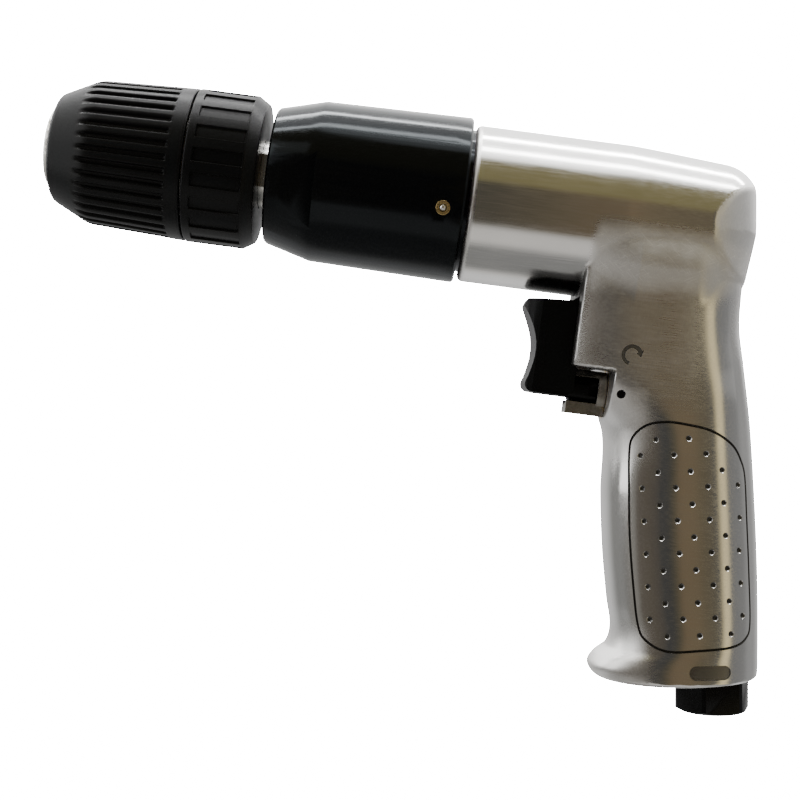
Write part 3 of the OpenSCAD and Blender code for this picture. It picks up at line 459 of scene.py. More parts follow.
def block(low: tuple, high: tuple) -> Piece:
    """Makes a closed box to cut with.

    Args:
        low: Its lowest corner.
        high: Its highest corner.

    Returns:
        The box.
    """
    points = list(itertools.product(*zip(low, high)))
    faces = [(0, 1, 3, 2), (4, 6, 7, 5), (0, 4, 5, 1), (2, 3, 7, 6), (0, 2, 6, 4), (1, 5, 7, 3)]
    return mesh_piece("block", points, faces)


def outward(piece: Piece) -> Piece:
    """Turns the faces of a closed mesh outwards.

    Args:
        piece: The piece to turn.

    Returns:
        The piece.
    """
    shell = bmesh.new()
    shell.from_mesh(piece.data)
    bmesh.ops.recalc_face_normals(shell, faces=shell.faces)
    shell.to_mesh(piece.data)
    shell.free()
    return piece


def strip_solid(floor: np.ndarray, roof: np.ndarray) -> Piece:
    """Makes a closed solid between two strips, to cut with.

    Args:
        floor: Points of the lower strip: its length, its two sides, and X, Y, Z.
        roof: Points of the upper strip, in the same order.

    Returns:
        The solid.
    """
    count = len(floor)
    points = np.concatenate([floor, roof], axis=1).reshape(-1, 3)
    rounds = ((0, 1), (1, 3), (3, 2), (2, 0))
    faces = [(4 * i + a, 4 * i + b, 4 * i + 4 + b, 4 * i + 4 + a)
             for i in range(count - 1) for a, b in rounds]
    faces += [(0, 2, 3, 1), tuple(4 * count - 4 + k for k in (0, 1, 3, 2))]
    return outward(mesh_piece("strip", points, faces))


class NodeTree:
    """A Geometry Nodes tree under construction."""

    def __init__(self, name: str, **inputs: str) -> None:
        """Starts a tree with a geometry in and out.

        Args:
            name: The tree's name.
            inputs: The name and the socket type of each further input.
        """
        self.tree = bpy.data.node_groups.new(name, "GeometryNodeTree")
        face = self.tree.interface
        face.new_socket("Geometry", in_out="INPUT", socket_type="NodeSocketGeometry")
        for label, kind in inputs.items():
            face.new_socket(label, in_out="INPUT", socket_type=kind)
        face.new_socket("Geometry", in_out="OUTPUT", socket_type="NodeSocketGeometry")
        self.source = self.tree.nodes.new("NodeGroupInput").outputs

    def add(self, kind: str, **inputs: Socket | float) -> bpy.types.Node:
        """Adds a node.

        Args:
            kind: The node's type.
            inputs: Sockets or values of its inputs, with _ for a space.

        Returns:
            The new node.
        """
        node = self.tree.nodes.new(kind)
        for label, value in inputs.items():
            join(self.tree, value, node.inputs[label.replace("_", " ")])
        return node

    def run(self, name: str, mesh: bpy.types.Mesh, geometry: Socket,
            **values: float | bpy.types.Material) -> Piece:
        """Ends the tree, runs it on a mesh and returns the result as a plain mesh.

        Args:
            name: The new object's name.
            mesh: The mesh to start from.
            geometry: The last geometry output.
            values: The values of the tree's inputs.

        Returns:
            The new object.
        """
        real = self.add("GeometryNodeRealizeInstances", Geometry=geometry)
        coat = self.add("GeometryNodeSetMaterial", Geometry=real.outputs[0],
                        Material=self.source["Material"])
        out = self.tree.nodes.new("NodeGroupOutput")
        self.tree.links.new(coat.outputs[0], out.inputs[0])
        made = linked(name, mesh)
        modifier = made.modifiers.new("nodes", "NODES")
        modifier.node_group = self.tree
        for item in self.tree.interface.items_tree:
            if item.in_out == "INPUT" and item.name in values:
                modifier[item.identifier] = values[item.name]
        return applied(made)


def around_axis(name: str, segment: bpy.types.Mesh, count: int, slot: Slot) -> Piece:
    """Repeats a segment around the spindle axis and joins its seams.

    Args:
        name: The piece's name.
        segment: One segment of the ring.
        count: How many segments make the ring.
        slot: The material slot.

    Returns:
        The closed ring.
    """
    nodes = NodeTree(name + "_nodes", Count="NodeSocketInt", Material="NodeSocketMaterial")
    points = nodes.add("GeometryNodePoints", Count=nodes.source["Count"])
    index = nodes.add("GeometryNodeInputIndex")
    turn = math_node(nodes.tree, "MULTIPLY", index.outputs[0],
                     math_node(nodes.tree, "DIVIDE", 2 * math.pi, nodes.source["Count"]))
    vector = nodes.add("ShaderNodeCombineXYZ", X=turn)
    euler = nodes.add("FunctionNodeEulerToRotation", Euler=vector.outputs[0])
    copies = nodes.add("GeometryNodeInstanceOnPoints", Points=points.outputs[0],
                       Instance=nodes.source["Geometry"], Rotation=euler.outputs[0])
    real = nodes.add("GeometryNodeRealizeInstances", Geometry=copies.outputs[0])
    whole = nodes.add("GeometryNodeMergeByDistance", Geometry=real.outputs[0],
                      Distance=0.002 * MM)
    made = nodes.run(name, segment, whole.outputs[0], Count=count,
                     Material=FINISHES[slot].material())
    return smoothed(made)


def wire(name: str, path: np.ndarray, radius: float, closed: bool, slot: Slot) -> Piece:
    """Makes a round wire along a path.

    Args:
        name: The piece's name.
        path: Points along its middle.
        radius: The wire's radius.
        closed: Whether the path ends where it starts.
        slot: The material slot.

    Returns:
        The closed wire.
    """
    count = len(path)
    mesh = bpy.data.meshes.new(name + "_path")
    edges = [(i, (i + 1) % count) for i in range(count if closed else count - 1)]
    mesh.from_pydata((path * MM).tolist(), edges, [])
    nodes = NodeTree(name + "_nodes", Radius="NodeSocketFloat", Material="NodeSocketMaterial")
    curve = nodes.add("GeometryNodeMeshToCurve", Mesh=nodes.source["Geometry"])
    circle = nodes.add("GeometryNodeCurvePrimitiveCircle", Resolution=8,
                       Radius=nodes.source["Radius"])
    tube = nodes.add("GeometryNodeCurveToMesh", Curve=curve.outputs[0],
                     Profile_Curve=circle.outputs[0], Fill_Caps=True)
    return nodes.run(name, mesh, tube.outputs[0], Radius=radius * MM,
                     Material=FINISHES[slot].material())


def smoothed(piece: Piece, crease_deg: float = 32.0) -> Piece:
    """Shades a piece smooth, with its sharp edges kept.

    Args:
        piece: The piece to shade.
        crease_deg: The least angle of a sharp edge.

    Returns:
        The piece.
    """
    piece.data.shade_smooth()
    piece.data.set_sharp_from_angle(angle=math.radians(crease_deg))
    return piece


def ease(value: np.ndarray, low: float, high: float) -> np.ndarray:
    """Rises smoothly from 0 at low to 1 at high."""
    t = np.clip((value - low) / (high - low), 0.0, 1.0)
    return t * t * (3 - 2 * t)


def mirrored(half: tuple) -> np.ndarray:
    """Returns steps that end at 0, followed by the same steps on its other side."""
    steps = np.array(half, float)
    return np.concatenate([steps, -steps[-2::-1]])


def ring_segment(outline: list, angles: np.ndarray, sink: np.ndarray) -> bpy.types.Mesh:
    """Sweeps an outline round a part of a turn.

    Args:
        outline: Points X and radius of a closed outline, inside on its left.
        angles: The steps of the sweep, in degrees.
        sink: How far each outline point sinks at each step.

    Returns:
        The open segment.
    """
    points, faces = [], []
    count = len(outline)
    for row, angle in enumerate(np.radians(angles)):
        for column, (x, radius) in enumerate(outline):
            r = radius - sink[row, column]
            points.append((x, r * math.sin(angle), r * math.cos(angle)))
    for row, column in itertools.product(range(len(angles) - 1), range(count)):
        a, b = row * count + column, row * count + (column + 1) % count
        faces.append((a, b, b + count, a + count))
    piece = mesh_piece("segment", np.array(points), faces)
    mesh = piece.data
    bpy.data.objects.remove(piece)
    return mesh


def rounded(corners: tuple, steps: int = 4) -> list:
    """Rounds the corners of an outline.

    Args:
        corners: X, radius and corner radius of each corner.
        steps: Points along each round.

    Returns:
        The outline's points.
    """
    points = []
    for i, (x, y, r) in enumerate(corners):
        here = np.array((x, y), float)
        if r == 0:
            points.append(tuple(here))
            continue
        before = np.array(corners[i - 1][:2]) - here
        after = np.array(corners[(i + 1) % len(corners)][:2]) - here
        before, after = before / np.linalg.norm(before), after / np.linalg.norm(after)
        half = math.acos(np.clip(before @ after, -1, 1)) / 2
        reach = r / math.tan(half)
        middle = here + (before + after) / np.linalg.norm(before + after) * r / math.sin(half)
        first, last = here + before * reach - middle, here + after * reach - middle
        for t in np.linspace(0, 1, steps + 1):
            way = (1 - t) * first + t * last
            points.append(tuple(middle + way / np.linalg.norm(way) * r))
    return points


@dataclass
class ChuckSleeve:
    """The ribbed sleeve of the chuck."""

    ribs: int = 36
    depth: float = 1.0
    x_scoop: tuple[float, float] = (10.2, 14.2)
    x_end: tuple[float, float] = (36.0, 36.45)
    inner_r: float = 14.5
    fine_mm: float = 0.35
    flank: tuple[float, float] = (0.42, 0.84)
    rib_steps: tuple = (-1, -0.93, -0.86, -0.78, -0.69, -0.6, -0.5, -0.38, -0.2, 0)
    corners: tuple = ((2.0, 11.55, 0.2), (2.0, 15.0, 2.6), (13.0, 20.4, 8.0), (40.6, 21.6, 0.5),
                      (40.6, 20.4, 0.0), (38.0, 19.6, 0.0), (18.4, 19.6, 0.0), (11.0, 18.6, 0.0),
                      (10.6, 13.6, 0.0), (3.0, 13.6, 0.0), (3.0, 11.55, 0.0))

    def outline(self) -> list:
        """Fills the outline with points close together along the ribs.

        Returns:
            The outline's points.
        """
        points = rounded(self.corners)
        filled = []
        for a, b in zip(points, points[1:] + points[:1]):
            top = min(a[1], b[1]) > self.inner_r and b[0] > a[0]
            steps = max(2, int((b[0] - a[0]) / self.fine_mm)) if top else 2
            share = np.linspace(0, 1, steps)
            filled += [(a[0] + (b[0] - a[0]) * t, a[1] + (b[1] - a[1]) * t)
                       for t in share][:-1]
        return filled

    def build(self) -> Piece:
        """Builds the sleeve from one rib.

        Returns:
            The dressed sleeve.
        """
        half = 180.0 / self.ribs
        share = mirrored(self.rib_steps)
        outline = self.outline()
        x, r = np.array(outline).T
        outer = (np.roll(x, -1) >= x) & (r > self.inner_r)
        along = ease(x, *self.x_scoop) * (1 - ease(x, *self.x_end)) * outer
        across = ease(np.abs(share), *self.flank)
        segment = ring_segment(outline, share * half, self.depth * np.outer(across, along))
        made = around_axis("ribbed_sleeve", segment, self.ribs, Slot.PLASTIC)
        return dressed(made, Slot.PLASTIC, "chuck_sleeve", "chuck_sleeve")


@dataclass
class ChuckRing:
    """The fixed ring behind the sleeve, with recessed pads."""

    pads: int = 20
    depth: float = 0.55
    pad_deg: float = 10.0
    x_pad: tuple[float, float] = (43.5, 57.2)
    wall_x: float = 0.12
    wall_deg: float = 0.3
    pad_r: float = 21.6
    edge_deg: tuple[float, float] = (-0.35, 0.25)
    corners: tuple = ((41.0, 15.2, 0.0), (41.0, 21.7, 0.5), (57.5, 21.7, 0.6), (60.7, 19.7, 0.5),
                      (60.7, 9.7, 0.2), (59.05, 9.7, 0.0), (59.05, 15.2, 0.0))

    def build(self) -> Piece:
        """Builds the ring from one pad.

        Returns:
            The dressed ring.
        """
        half = 180.0 / self.pads
        edge = self.pad_deg / 2
        wall = self.wall_deg
        angles = mirrored((-half, -edge - 5 * wall, -edge - wall, -edge, -edge + wall, -edge + 1.0,
                           -edge / 2, 0))
        points = rounded(self.corners)
        low, high = self.x_pad
        outline = []
        for a, b in zip(points, points[1:] + points[:1]):
            outline.append(a)
            if b[0] - a[0] > (high - low) / 2:
                outline += [(x, a[1]) for x in (low - self.wall_x, low + self.wall_x,
                                                (low + high) / 2, high - self.wall_x,
                                                high + self.wall_x)]
        x, r = np.array(outline).T
        along = ((x > low) & (x < high) & (r > self.pad_r)).astype(float)
        across = 1 - ease(np.abs(angles) - edge, *self.edge_deg)
        segment = ring_segment(outline, angles, self.depth * np.outer(across, along))
        made = around_axis("padded_ring", segment, self.pads, Slot.PLASTIC)
        return dressed(made, Slot.PLASTIC, "spindle", "chuck_rear_ring")


def round_union(a: np.ndarray, b: np.ndarray, r: np.ndarray) -> np.ndarray:
    """Joins two distances with a fillet of radius r."""
    return np.maximum(r, np.minimum(a, b)) - np.hypot(np.maximum(r - a, 0), np.maximum(r - b, 0))


def round_cut(a: np.ndarray, b: np.ndarray, r: float) -> np.ndarray:
    """Keeps what two distances share, with its edge rounded to radius r."""
    return np.minimum(-r, np.maximum(a, b)) + np.hypot(np.maximum(r + a, 0),
                                                       np.maximum(r + b, 0))


def squared(u: np.ndarray, v: np.ndarray, depth: np.ndarray, half: np.ndarray,
            n: np.ndarray) -> np.ndarray:
    """Returns the distance to a squared oval.

    Args:
        u: Place along its depth, as a share.
        v: Place across it, as a share.
        depth: Half its depth.
        half: Half its width.
        n: Its squareness.

    Returns:
        The distance, below 0 inside.
    """
    p = (u**n + v**n) ** (1 / n)
    return (p - 1) / np.hypot((u / p) ** (n - 1) / depth, (v / p) ** (n - 1) / half)


@dataclass
class Housing:
    """The polished body: a barrel on the spindle axis with a raked grip under it.

    The rows of the grip give depth below the axis, front, back, half width and squareness. The
    column gives the depth and the back of the barrel's rear, and the panel gives knots of its
    outline, as places on the grip. A bore gives its end and its radius.
    """

    x_front: float = 119.4
    x_rear: float = 201.4
    barrel_r: float = 22.2
    barrel_drop: float = 0.6
    front_edge: float = 1.6
    rear_edge: float = 10.5
    x_fall: float = 162.0
    fall: float = 0.075
    fall_ease: float = 4.0
    x_boss: float = 153.9
    x_recess: float = 165.4
    boss_z: float = -42.9
    x_inlet: float = 190.0
    rake_deg: float = 7.5
    grip_l: float = 126.0
    edge: float = 1.2
    boss_edge: float = 0.5
    crease: float = 0.7
    web: float = 8.0
    step: float = 0.72
    valve_z: float = VALVE_Z
    x_pin: float = 167.9
    column: tuple = ((-30, 12), (1, 12), (12, 9.25), (26, 6.1), (40, 8.4))
    column_front: float = 46.0
    column_half: float = 22.3
    column_n: float = 2.3
    column_edge: float = 0.6
    column_flare: float = 4.0
    recess_edge: float = 0.8
    foot_crown: float = 1.1
    foot_middle: float = -11.0
    foot_half: float = 24.0
    seam: float = 0.3
    sharp_deg: float = 40.0
    skin_gap: float = 0.09
    skin_agree: float = 0.85
    rows: tuple = (
        (-6, 46, 7.2, 18.2, 3), (6, 46, 8.4, 19.2, 3), (16, 46, 7.5, 18.5, 3),
        (27, 46, 6.8, 17.8, 3), (38, 45.6, 8.1, 17.5, 2.9), (48, 35.7, 9.3, 17.3, 2.7),
        (56, 31.3, 10.2, 17.1, 2.5), (74, 31.6, 11.3, 17, 2.5), (90, 31.1, 12.0, 17, 2.5),
        (104, 29.9, 12.3, 17, 2.5), (112, 28.9, 12.3, 17.1, 2.5), (117, 30.3, 12.3, 17.2, 2.5),
        (119.5, 33.7, 12.3, 17.3, 2.5), (122.4, 35.5, 12.3, 17.4, 2.5),
        (126, 33.7, 12.0, 17.4, 2.5))
    panel: tuple = (
        (-25.7, 62), (-25.8, 73), (-25.6, 85), (-24.7, 98), (-23.4, 109.5), (-21.3, 113.8),
        (-15.8, 116.4), (-6.4, 116.1), (2.3, 115.3), (6.4, 113.2), (7.8, 109), (7.5, 95), (6.9, 80),
        (6.4, 69), (5.1, 64.2), (2.3, 59.8), (-3.6, 56), (-10.6, 54.2), (-16.5, 53.5),
        (-21.5, 54.5), (-24.8, 57.6))
    groove_r: float = 0.37
    pit_r: float = 1.15
    pit_rise: float = 0.75
    pit_margin: float = 1.0
    plate_place: tuple[float, float] = (-4.1, 122.3)
    plate_size: tuple[float, float] = (11.7, 4.0)
    sign_place: tuple[float, float] = (-25.6, 35.2)
    sign_r: float = 2.4
    mark_depth: float = 0.4
    mark_limit: float = 1.5
    # Painted shade: its share in the groove, the pits and the other marks, the grip heights where
    # the pits' share holds, and its share on the boss's front
    painted_shade_shares: Triple = (1.0, 0.95, 0.75)
    painted_shade_h: tuple[float, float] = (50.0, 118.0)
    painted_shade_front: float = 0.85
    pit_rows: int = 13
    pit_start: tuple[float, float] = (-18.9, 58.3)
    pit_shift: tuple[float, float] = (0.25, 4.5)
    pit_stagger: float = 4.3
    pit_gaps: tuple[float, float] = (8.85, 8.1)
    pit_lift: float = 0.3
    seat: tuple[float, float] = (128.9, 20.15)
    motor_bore: tuple[float, float] = (188.2, 18.6)
    valve_bore: tuple[float, float] = (202.0, 7.2)
    pocket: Triple = (162.0, 9.8, -23.4)
    pin_r: float = 1.2
    grip_bores: tuple = ((0, 49.2, 5.0), (0, 112, 8.0), (-18, 64, 6.5))
    table: np.ndarray = field(init=False)
    cos: float = field(init=False)
    sin: float = field(init=False)

    def __post_init__(self) -> None:
        """Fills the table of grip sections from its rows."""
        rows = np.array(self.rows, float)
        h, values = rows[:, 0], rows[:, 1:]
        slopes = np.gradient(values, h, axis=0)
        slopes[1:-1] = (values[2:] - values[:-2]) / (h[2:] - h[:-2])[:, None]
        fine = np.linspace(h[0], h[-1], 800)
        i = np.clip(np.searchsorted(h, fine, side="right") - 1, 0, len(h) - 2)
        gap = (h[i + 1] - h[i])[:, None]
        t = ((fine - h[i])[:, None]) / gap
        made = ((2 * t**3 - 3 * t**2 + 1) * values[i] + (t**3 - 2 * t**2 + t) * gap * slopes[i]
                + (3 * t**2 - 2 * t**3) * values[i + 1] + (t**3 - t**2) * gap * slopes[i + 1])
        self.table = np.column_stack([fine, made])
        rake = math.radians(self.rake_deg)
        self.cos, self.sin = math.cos(rake), math.sin(rake)

    def to_grip(self, x: np.ndarray, z: np.ndarray) -> tuple[np.ndarray, np.ndarray]:
        """Returns how far back of the inlet axis and how far down it a point lies."""
        return ((x - self.x_inlet) * self.cos + z * self.sin,
                (x - self.x_inlet) * self.sin - z * self.cos)

    def from_grip(self, f: np.ndarray, h: np.ndarray) -> tuple[np.ndarray, np.ndarray]:
        """Returns X and Z of a place on the grip."""
        return self.x_inlet + f * self.cos + h * self.sin, f * self.sin - h * self.cos

    def tube(self, x: np.ndarray, y: np.ndarray, z: np.ndarray) -> np.ndarray:
        """Returns the distance to the barrel before its rear is rounded in plan.

        Args:
            x: X of each point.
            y: Y of each point.
            z: Z of each point.

        Returns:
            The distance, below 0 inside.
        """
        soft = self.fall_ease
        fall = self.fall * (np.sqrt(np.maximum(x - self.x_fall, 0) ** 2 + soft**2) - soft)
        side = np.hypot(y, z + self.barrel_drop) - self.barrel_r + fall
        return round_cut(round_cut(side, x - self.x_rear, self.rear_edge), self.x_front - x,
                         self.front_edge)

    def rear(self, x: np.ndarray, y: np.ndarray, z: np.ndarray) -> np.ndarray:
        """Returns the distance to the upright round that ends the barrel.

        Args:
            x: X of each point.
            y: Y of each point.
            z: Z of each point.

        Returns:
            The distance, below 0 inside.
        """
        f, h = self.to_grip(x, z)
        back = np.interp(h, *np.array(self.column, float).T)
        depth = (self.column_front + back) / 2
        u = np.maximum(f - (back - self.column_front) / 2, 0) / depth + 1e-9
        half = self.column_half + self.column_flare * (1 - ease(u, 0.1, 0.55))
        return squared(u, np.abs(y) / half + 1e-9, depth, half, self.column_n)

    def grip(self, x: np.ndarray, y: np.ndarray, z: np.ndarray) -> np.ndarray:
        """Returns the distance to the grip with its boss.

        Args:
            x: X of each point.
            y: Y of each point.
            z: Z of each point.

        Returns:
            The distance, below 0 inside.
        """
        f, h = self.to_grip(x, z)
        front, back, half, n = (np.interp(h, self.table[:, 0], column)
                                for column in self.table.T[1:])
        depth = (front + back) / 2
        u = np.abs(f - (back - front) / 2) / depth + 1e-9
        v = np.abs(y) / half + 1e-9
        skin = np.maximum(squared(u, v, depth, half, n), self.rows[0][0] - h)
        share = (f - self.foot_middle) / self.foot_half
        base = self.grip_l + 0.5 - self.foot_crown * share**2
        skin = round_cut(skin, h - base, self.edge)
        under = round_union(self.x_recess - x, self.boss_z - z, self.recess_edge)
        return round_cut(skin, np.maximum(self.x_boss - x, under), self.boss_edge)

    def distance(self, points: np.ndarray) -> np.ndarray:
        """Returns the distance to the body's skin.

        Args:
            points: Points in rows of X, Y and Z.

        Returns:
            The distance, below 0 inside.
        """
        x, y, z = points.T
        fillet = np.interp(x, (self.x_boss + 1, self.x_boss + 14), (self.crease, self.web))
        share = ease(-z, 2, 14) * (1 - ease(self.to_grip(x, z)[0], -8, 2))
        fillet = (fillet - self.seam) * share + self.seam
        barrel = round_cut(self.tube(x, y, z), self.rear(x, y, z), self.column_edge)
        return round_union(barrel, self.grip(x, y, z), fillet)

    def slope(self, points: np.ndarray) -> np.ndarray:
        """Returns the gradient of the distance."""
        reach = 0.04
        return np.stack([(self.distance(points + step) - self.distance(points - step))
                         / (2 * reach) for step in reach * np.eye(3)], axis=1)

    def settle(self, points: np.ndarray, rounds: int = 5) -> np.ndarray:
        """Moves points onto the skin.

        Args:
            points: Points near the skin.
            rounds: How many steps to take.

        Returns:
            The moved points.
        """
        for _ in range(rounds):
            slope = self.slope(points)
            size = np.maximum((slope**2).sum(1), 0.05)
            move = slope * (self.distance(points) / size)[:, None]
            length = np.linalg.norm(move, axis=1, keepdims=True)
            points = points - move * np.minimum(1, 0.4 / np.maximum(length, 1e-9))
        return points

    def on_skin(self, x: np.ndarray, z: np.ndarray, side: Side) -> np.ndarray:
        """Drops places onto one side of the body.

        Args:
            x: X of each place.
            z: Z of each place.
            side: The side to drop onto.

        Returns:
            The points on the skin.
        """
        inner, outer = np.zeros_like(x), np.full_like(x, 30.0)
        for _ in range(40):
            middle = (inner + outer) / 2
            inside = self.distance(np.column_stack([x, side.value * middle, z])) < 0
            inner, outer = np.where(inside, middle, inner), np.where(inside, outer, middle)
        return np.column_stack([x, side.value * inner, z])

    def skin(self) -> Piece:
        """Makes the body's skin.

        Returns:
            The skin as a closed mesh.
        """
        low, high = (self.x_front - 2, -25.0, -131.0), (223.0, 25.0, 24.0)
        points, faces = surface_net(self.distance, low, high, self.step)
        return mesh_piece("polished_body", self.settle(points), faces)

    def groove(self, side: Side) -> Piece:
        """Makes a round wire along the panel's outline, to cut its groove with."""
        points = self.on_skin(*self.from_grip(*self.panel_path().T), side)
        return wire("groove", points, self.groove_r, True, Slot.ALUMINIUM)

    def panel_path(self) -> np.ndarray:
        """Draws the outline of the grip panel through its knots.

        Returns:
            Points along the smooth closed path.
        """
        knots = np.array(self.panel, float)
        a, b, c, d = (np.roll(knots, shift, axis=0)[:, None] for shift in (1, 0, -1, -2))
        t = np.linspace(0, 1, 8, endpoint=False)[None, :, None]
        path = 0.5 * (2 * b + (c - a) * t + (2 * a - 5 * b + 4 * c - d) * t**2
                      + (3 * b - a - 3 * c + d) * t**3)
        return path.reshape(-1, 2)

    def pit_places(self) -> np.ndarray:
        """Lays out the grip's pits inside its panel.

        Returns:
            The places of the pits on the grip.
        """
        outline = self.panel_path()
        places = []
        for row in range(self.pit_rows):
            f, h = np.array(self.pit_start) + np.array(self.pit_shift) * row
            f -= self.pit_stagger * (row % 2)
            while f < outline[:, 0].max():
                gap = np.hypot(*(outline - (f, h)).T).min()
                if gap > self.pit_margin and inside_path(outline, f, h):
                    places.append((f, h))
                f, h = f + self.pit_gaps[0 if f < -4 else 1], h - self.pit_lift
        return np.array(places)

    def pits(self, side: Side) -> Piece:
        """Makes the balls that cut the pits of one side.

        Args:
            side: The side that they are on.

        Returns:
            All the balls as one mesh.
        """
        points = self.on_skin(*self.from_grip(*self.pit_places().T), side)
        slope = self.slope(points)
        points += slope / np.linalg.norm(slope, axis=1, keepdims=True) * self.pit_rise
        mesh = bpy.data.meshes.new("pit_centres")
        mesh.from_pydata((points * MM).tolist(), [], [])
        nodes = NodeTree("pit_nodes", Radius="NodeSocketFloat", Material="NodeSocketMaterial")
        ball = nodes.add("GeometryNodeMeshIcoSphere", Radius=nodes.source["Radius"],
                         Subdivisions=3)
        copies = nodes.add("GeometryNodeInstanceOnPoints", Points=nodes.source["Geometry"],
                           Instance=ball.outputs[0])
        return nodes.run("pits", mesh, copies.outputs[0], Radius=self.pit_r * MM,
                         Material=FINISHES[Slot.ALUMINIUM].material())

    def bores(self) -> list[Piece]:
        """Makes what cuts the bores, the trigger's pocket and the pin's hole.

        Returns:
            The closed meshes to take away.
        """
        z, below = self.valve_z, self.grip_l + 4
        x_pocket, half, top = self.pocket
        made = [
            rod((self.x_front - 1, 0, 0), (self.seat[0], 0, 0), self.seat[1], 128),
            rod((self.seat[0] - 1, 0, 0), (self.motor_bore[0], 0, 0), self.motor_bore[1], 128),
            rod((self.x_recess - 1, 0, z), (self.valve_bore[0], 0, z), self.valve_bore[1]),
            block((self.x_boss - 1, -half, self.boss_z - 1), (x_pocket, half, top)),
            rod((self.x_pin, -30, z), (self.x_pin, 30, z), self.pin_r, 32),
        ]
        for f, top, radius in self.grip_bores:
            ends = [self.from_grip(f, h) for h in (top, below)]
            made.append(rod(*[(x, 0.0, z) for x, z in ends], radius))
        return made

    def engraving(self, one: np.ndarray, other: np.ndarray, side: Side) -> Piece:
        """Makes a solid that sinks a strip into the skin.

        Args:
            one: Places on the grip along one edge of the strip.
            other: Places along its other edge.
            side: The side that it is on.

        Returns:
            The solid.
        """
        skin = np.stack([self.on_skin(*self.from_grip(*edge.T), side) for edge in (one, other)],
                        axis=1)
        way = np.array((0.0, side.value, 0.0))
        return strip_solid(skin - way * self.mark_depth, skin + way)

    def plate_edges(self) -> tuple[np.ndarray, np.ndarray]:
        """Draws the bare plate's seat at the foot of the grip.

        Returns:
            Places along its two edges.
        """
        length, height = self.plate_size
        turn = np.radians(np.linspace(176, 4, 25))
        reach = (length - height) / 2 * np.sign(np.cos(turn).round(6))
        x, y = reach + height / 2 * np.cos(turn), height / 2 * np.sin(turn)
        return tuple(np.column_stack([x, way * y]) + self.plate_place for way in (-1, 1))

    def sign_edges(self) -> tuple[np.ndarray, np.ndarray]:
        """Draws the turning arrow by the trigger.

        Returns:
            Places along its two edges.
        """
        share = np.concatenate([np.linspace(0, 1, 28), (1.0, 1.16)])
        angle = np.radians(248 - 226 * share)
        half = np.concatenate([0.45 + 0.12 * share[:28], (1.1, 0.1)])
        way = np.column_stack([np.cos(angle), -np.sin(angle)])
        return tuple(way * (self.sign_r + sign * half)[:, None] + self.sign_place
                     for sign in (1, -1))

    def marks(self) -> list[Piece]:
        """Returns what cuts the panel's grooves and pits and the marks of the near side."""
        made = [cut for side in Side for cut in (self.groove(side), self.pits(side))]
        return made + [self.engraving(*self.plate_edges(), Side.NEAR),
                       self.engraving(*self.sign_edges(), Side.NEAR)]

    def painted_shade(self, points: np.ndarray, distance: np.ndarray, slope: np.ndarray) -> np.ndarray:
        """Returns the painted shade in the marks, most in the panel's groove, and on the boss's
        front.

        Args:
            points: Points in rows of X, Y and Z.
            distance: Distance of each point to the skin.
            slope: The skin's normal at each point.

        Returns:
            The share of painted shade at each point.
        """
        x, _, z = points.T
        f, h = self.to_grip(x, z)
        # Painted shade grows with depth below the skin, in the groove, the pits and the engraved
        # marks
        sunk = ease(-distance, 0.03, 0.14)
        gap = np.full(len(f), np.inf)
        shallow = distance > -self.mark_limit
        deep = (sunk > 0) & shallow
        places = np.column_stack([f[deep], h[deep]])
        if len(places):
            path = self.panel_path()
            gap[deep] = np.min([np.hypot(*(places - point).T) for point in path], axis=0)
        groove, pits, others = self.painted_shade_shares
        share = np.where((h > self.painted_shade_h[0]) & (h < self.painted_shade_h[1]), pits, others)
        marks = sunk * np.where(gap < 1.0, groove, share) * shallow
        # Painted shade on the boss's front face, behind the trigger
        front = ease(-slope[:, 0], 0.3, 0.75) * ease(-z, 12, 16) * (x < self.x_boss + 0.5)
        return np.maximum(marks, self.painted_shade_front * front)

    def build(self) -> Piece:
        """Builds the body.

        Returns:
            The dressed body.
        """
        made = carve(self.skin(), self.bores() + self.marks())
        self.shade(made.data)
        return dressed(made, Slot.ALUMINIUM, "housing", "housing")

    def shade(self, mesh: bpy.types.Mesh) -> None:
        """Sets the normals of the skin, and the attributes that its finish reads.

        Args:
            mesh: The body's mesh.
        """
        points = np.empty(len(mesh.vertices) * 3)
        mesh.vertices.foreach_get("co", points)
        points = points.reshape(-1, 3) / MM
        distance, slope = self.distance(points), self.slope(points)
        slope /= np.linalg.norm(slope, axis=1, keepdims=True)
        self.set_normals(mesh, distance, slope)
        # The satin attribute sets roughness; the second carries the painted shade in the marks and
        # on the boss's front
        for label, value in (("satin", self.satin(*points.T)),
                             ("painted_shade", self.painted_shade(points, distance, slope))):
            layer = mesh.attributes.new(label, "FLOAT", "POINT")
            layer.data.foreach_set("value", value.astype(np.float32))

    def set_normals(self, mesh: bpy.types.Mesh, distance: np.ndarray, slope: np.ndarray) -> None:
        """Gives the faces on the skin its true normals, and leaves those in the cuts.

        Args:
            mesh: The body's mesh.
            distance: Distance of each point to the skin.
            slope: The skin's normal at each point.
        """
        mesh.shade_smooth()
        mesh.set_sharp_from_angle(angle=math.radians(self.sharp_deg))
        corner = np.array([n.vector for n in mesh.corner_normals])
        vertex = np.empty(len(mesh.loops), int)
        mesh.loops.foreach_get("vertex_index", vertex)
        count = len(mesh.polygons)
        face = np.repeat(np.arange(count), [p.loop_total for p in mesh.polygons])
        normal = np.empty(count * 3)
        mesh.polygons.foreach_get("normal", normal)
        agree = (normal.reshape(-1, 3)[face] * slope[vertex]).sum(1) > self.skin_agree
        outer = agree & (np.abs(distance[vertex]) < self.skin_gap)
        off = np.zeros(count, int)
        np.add.at(off, face, ~outer)
        whole = off[face] == 0
        corner[whole] = slope[vertex][whole]
        mesh.normals_split_custom_set(corner.tolist())

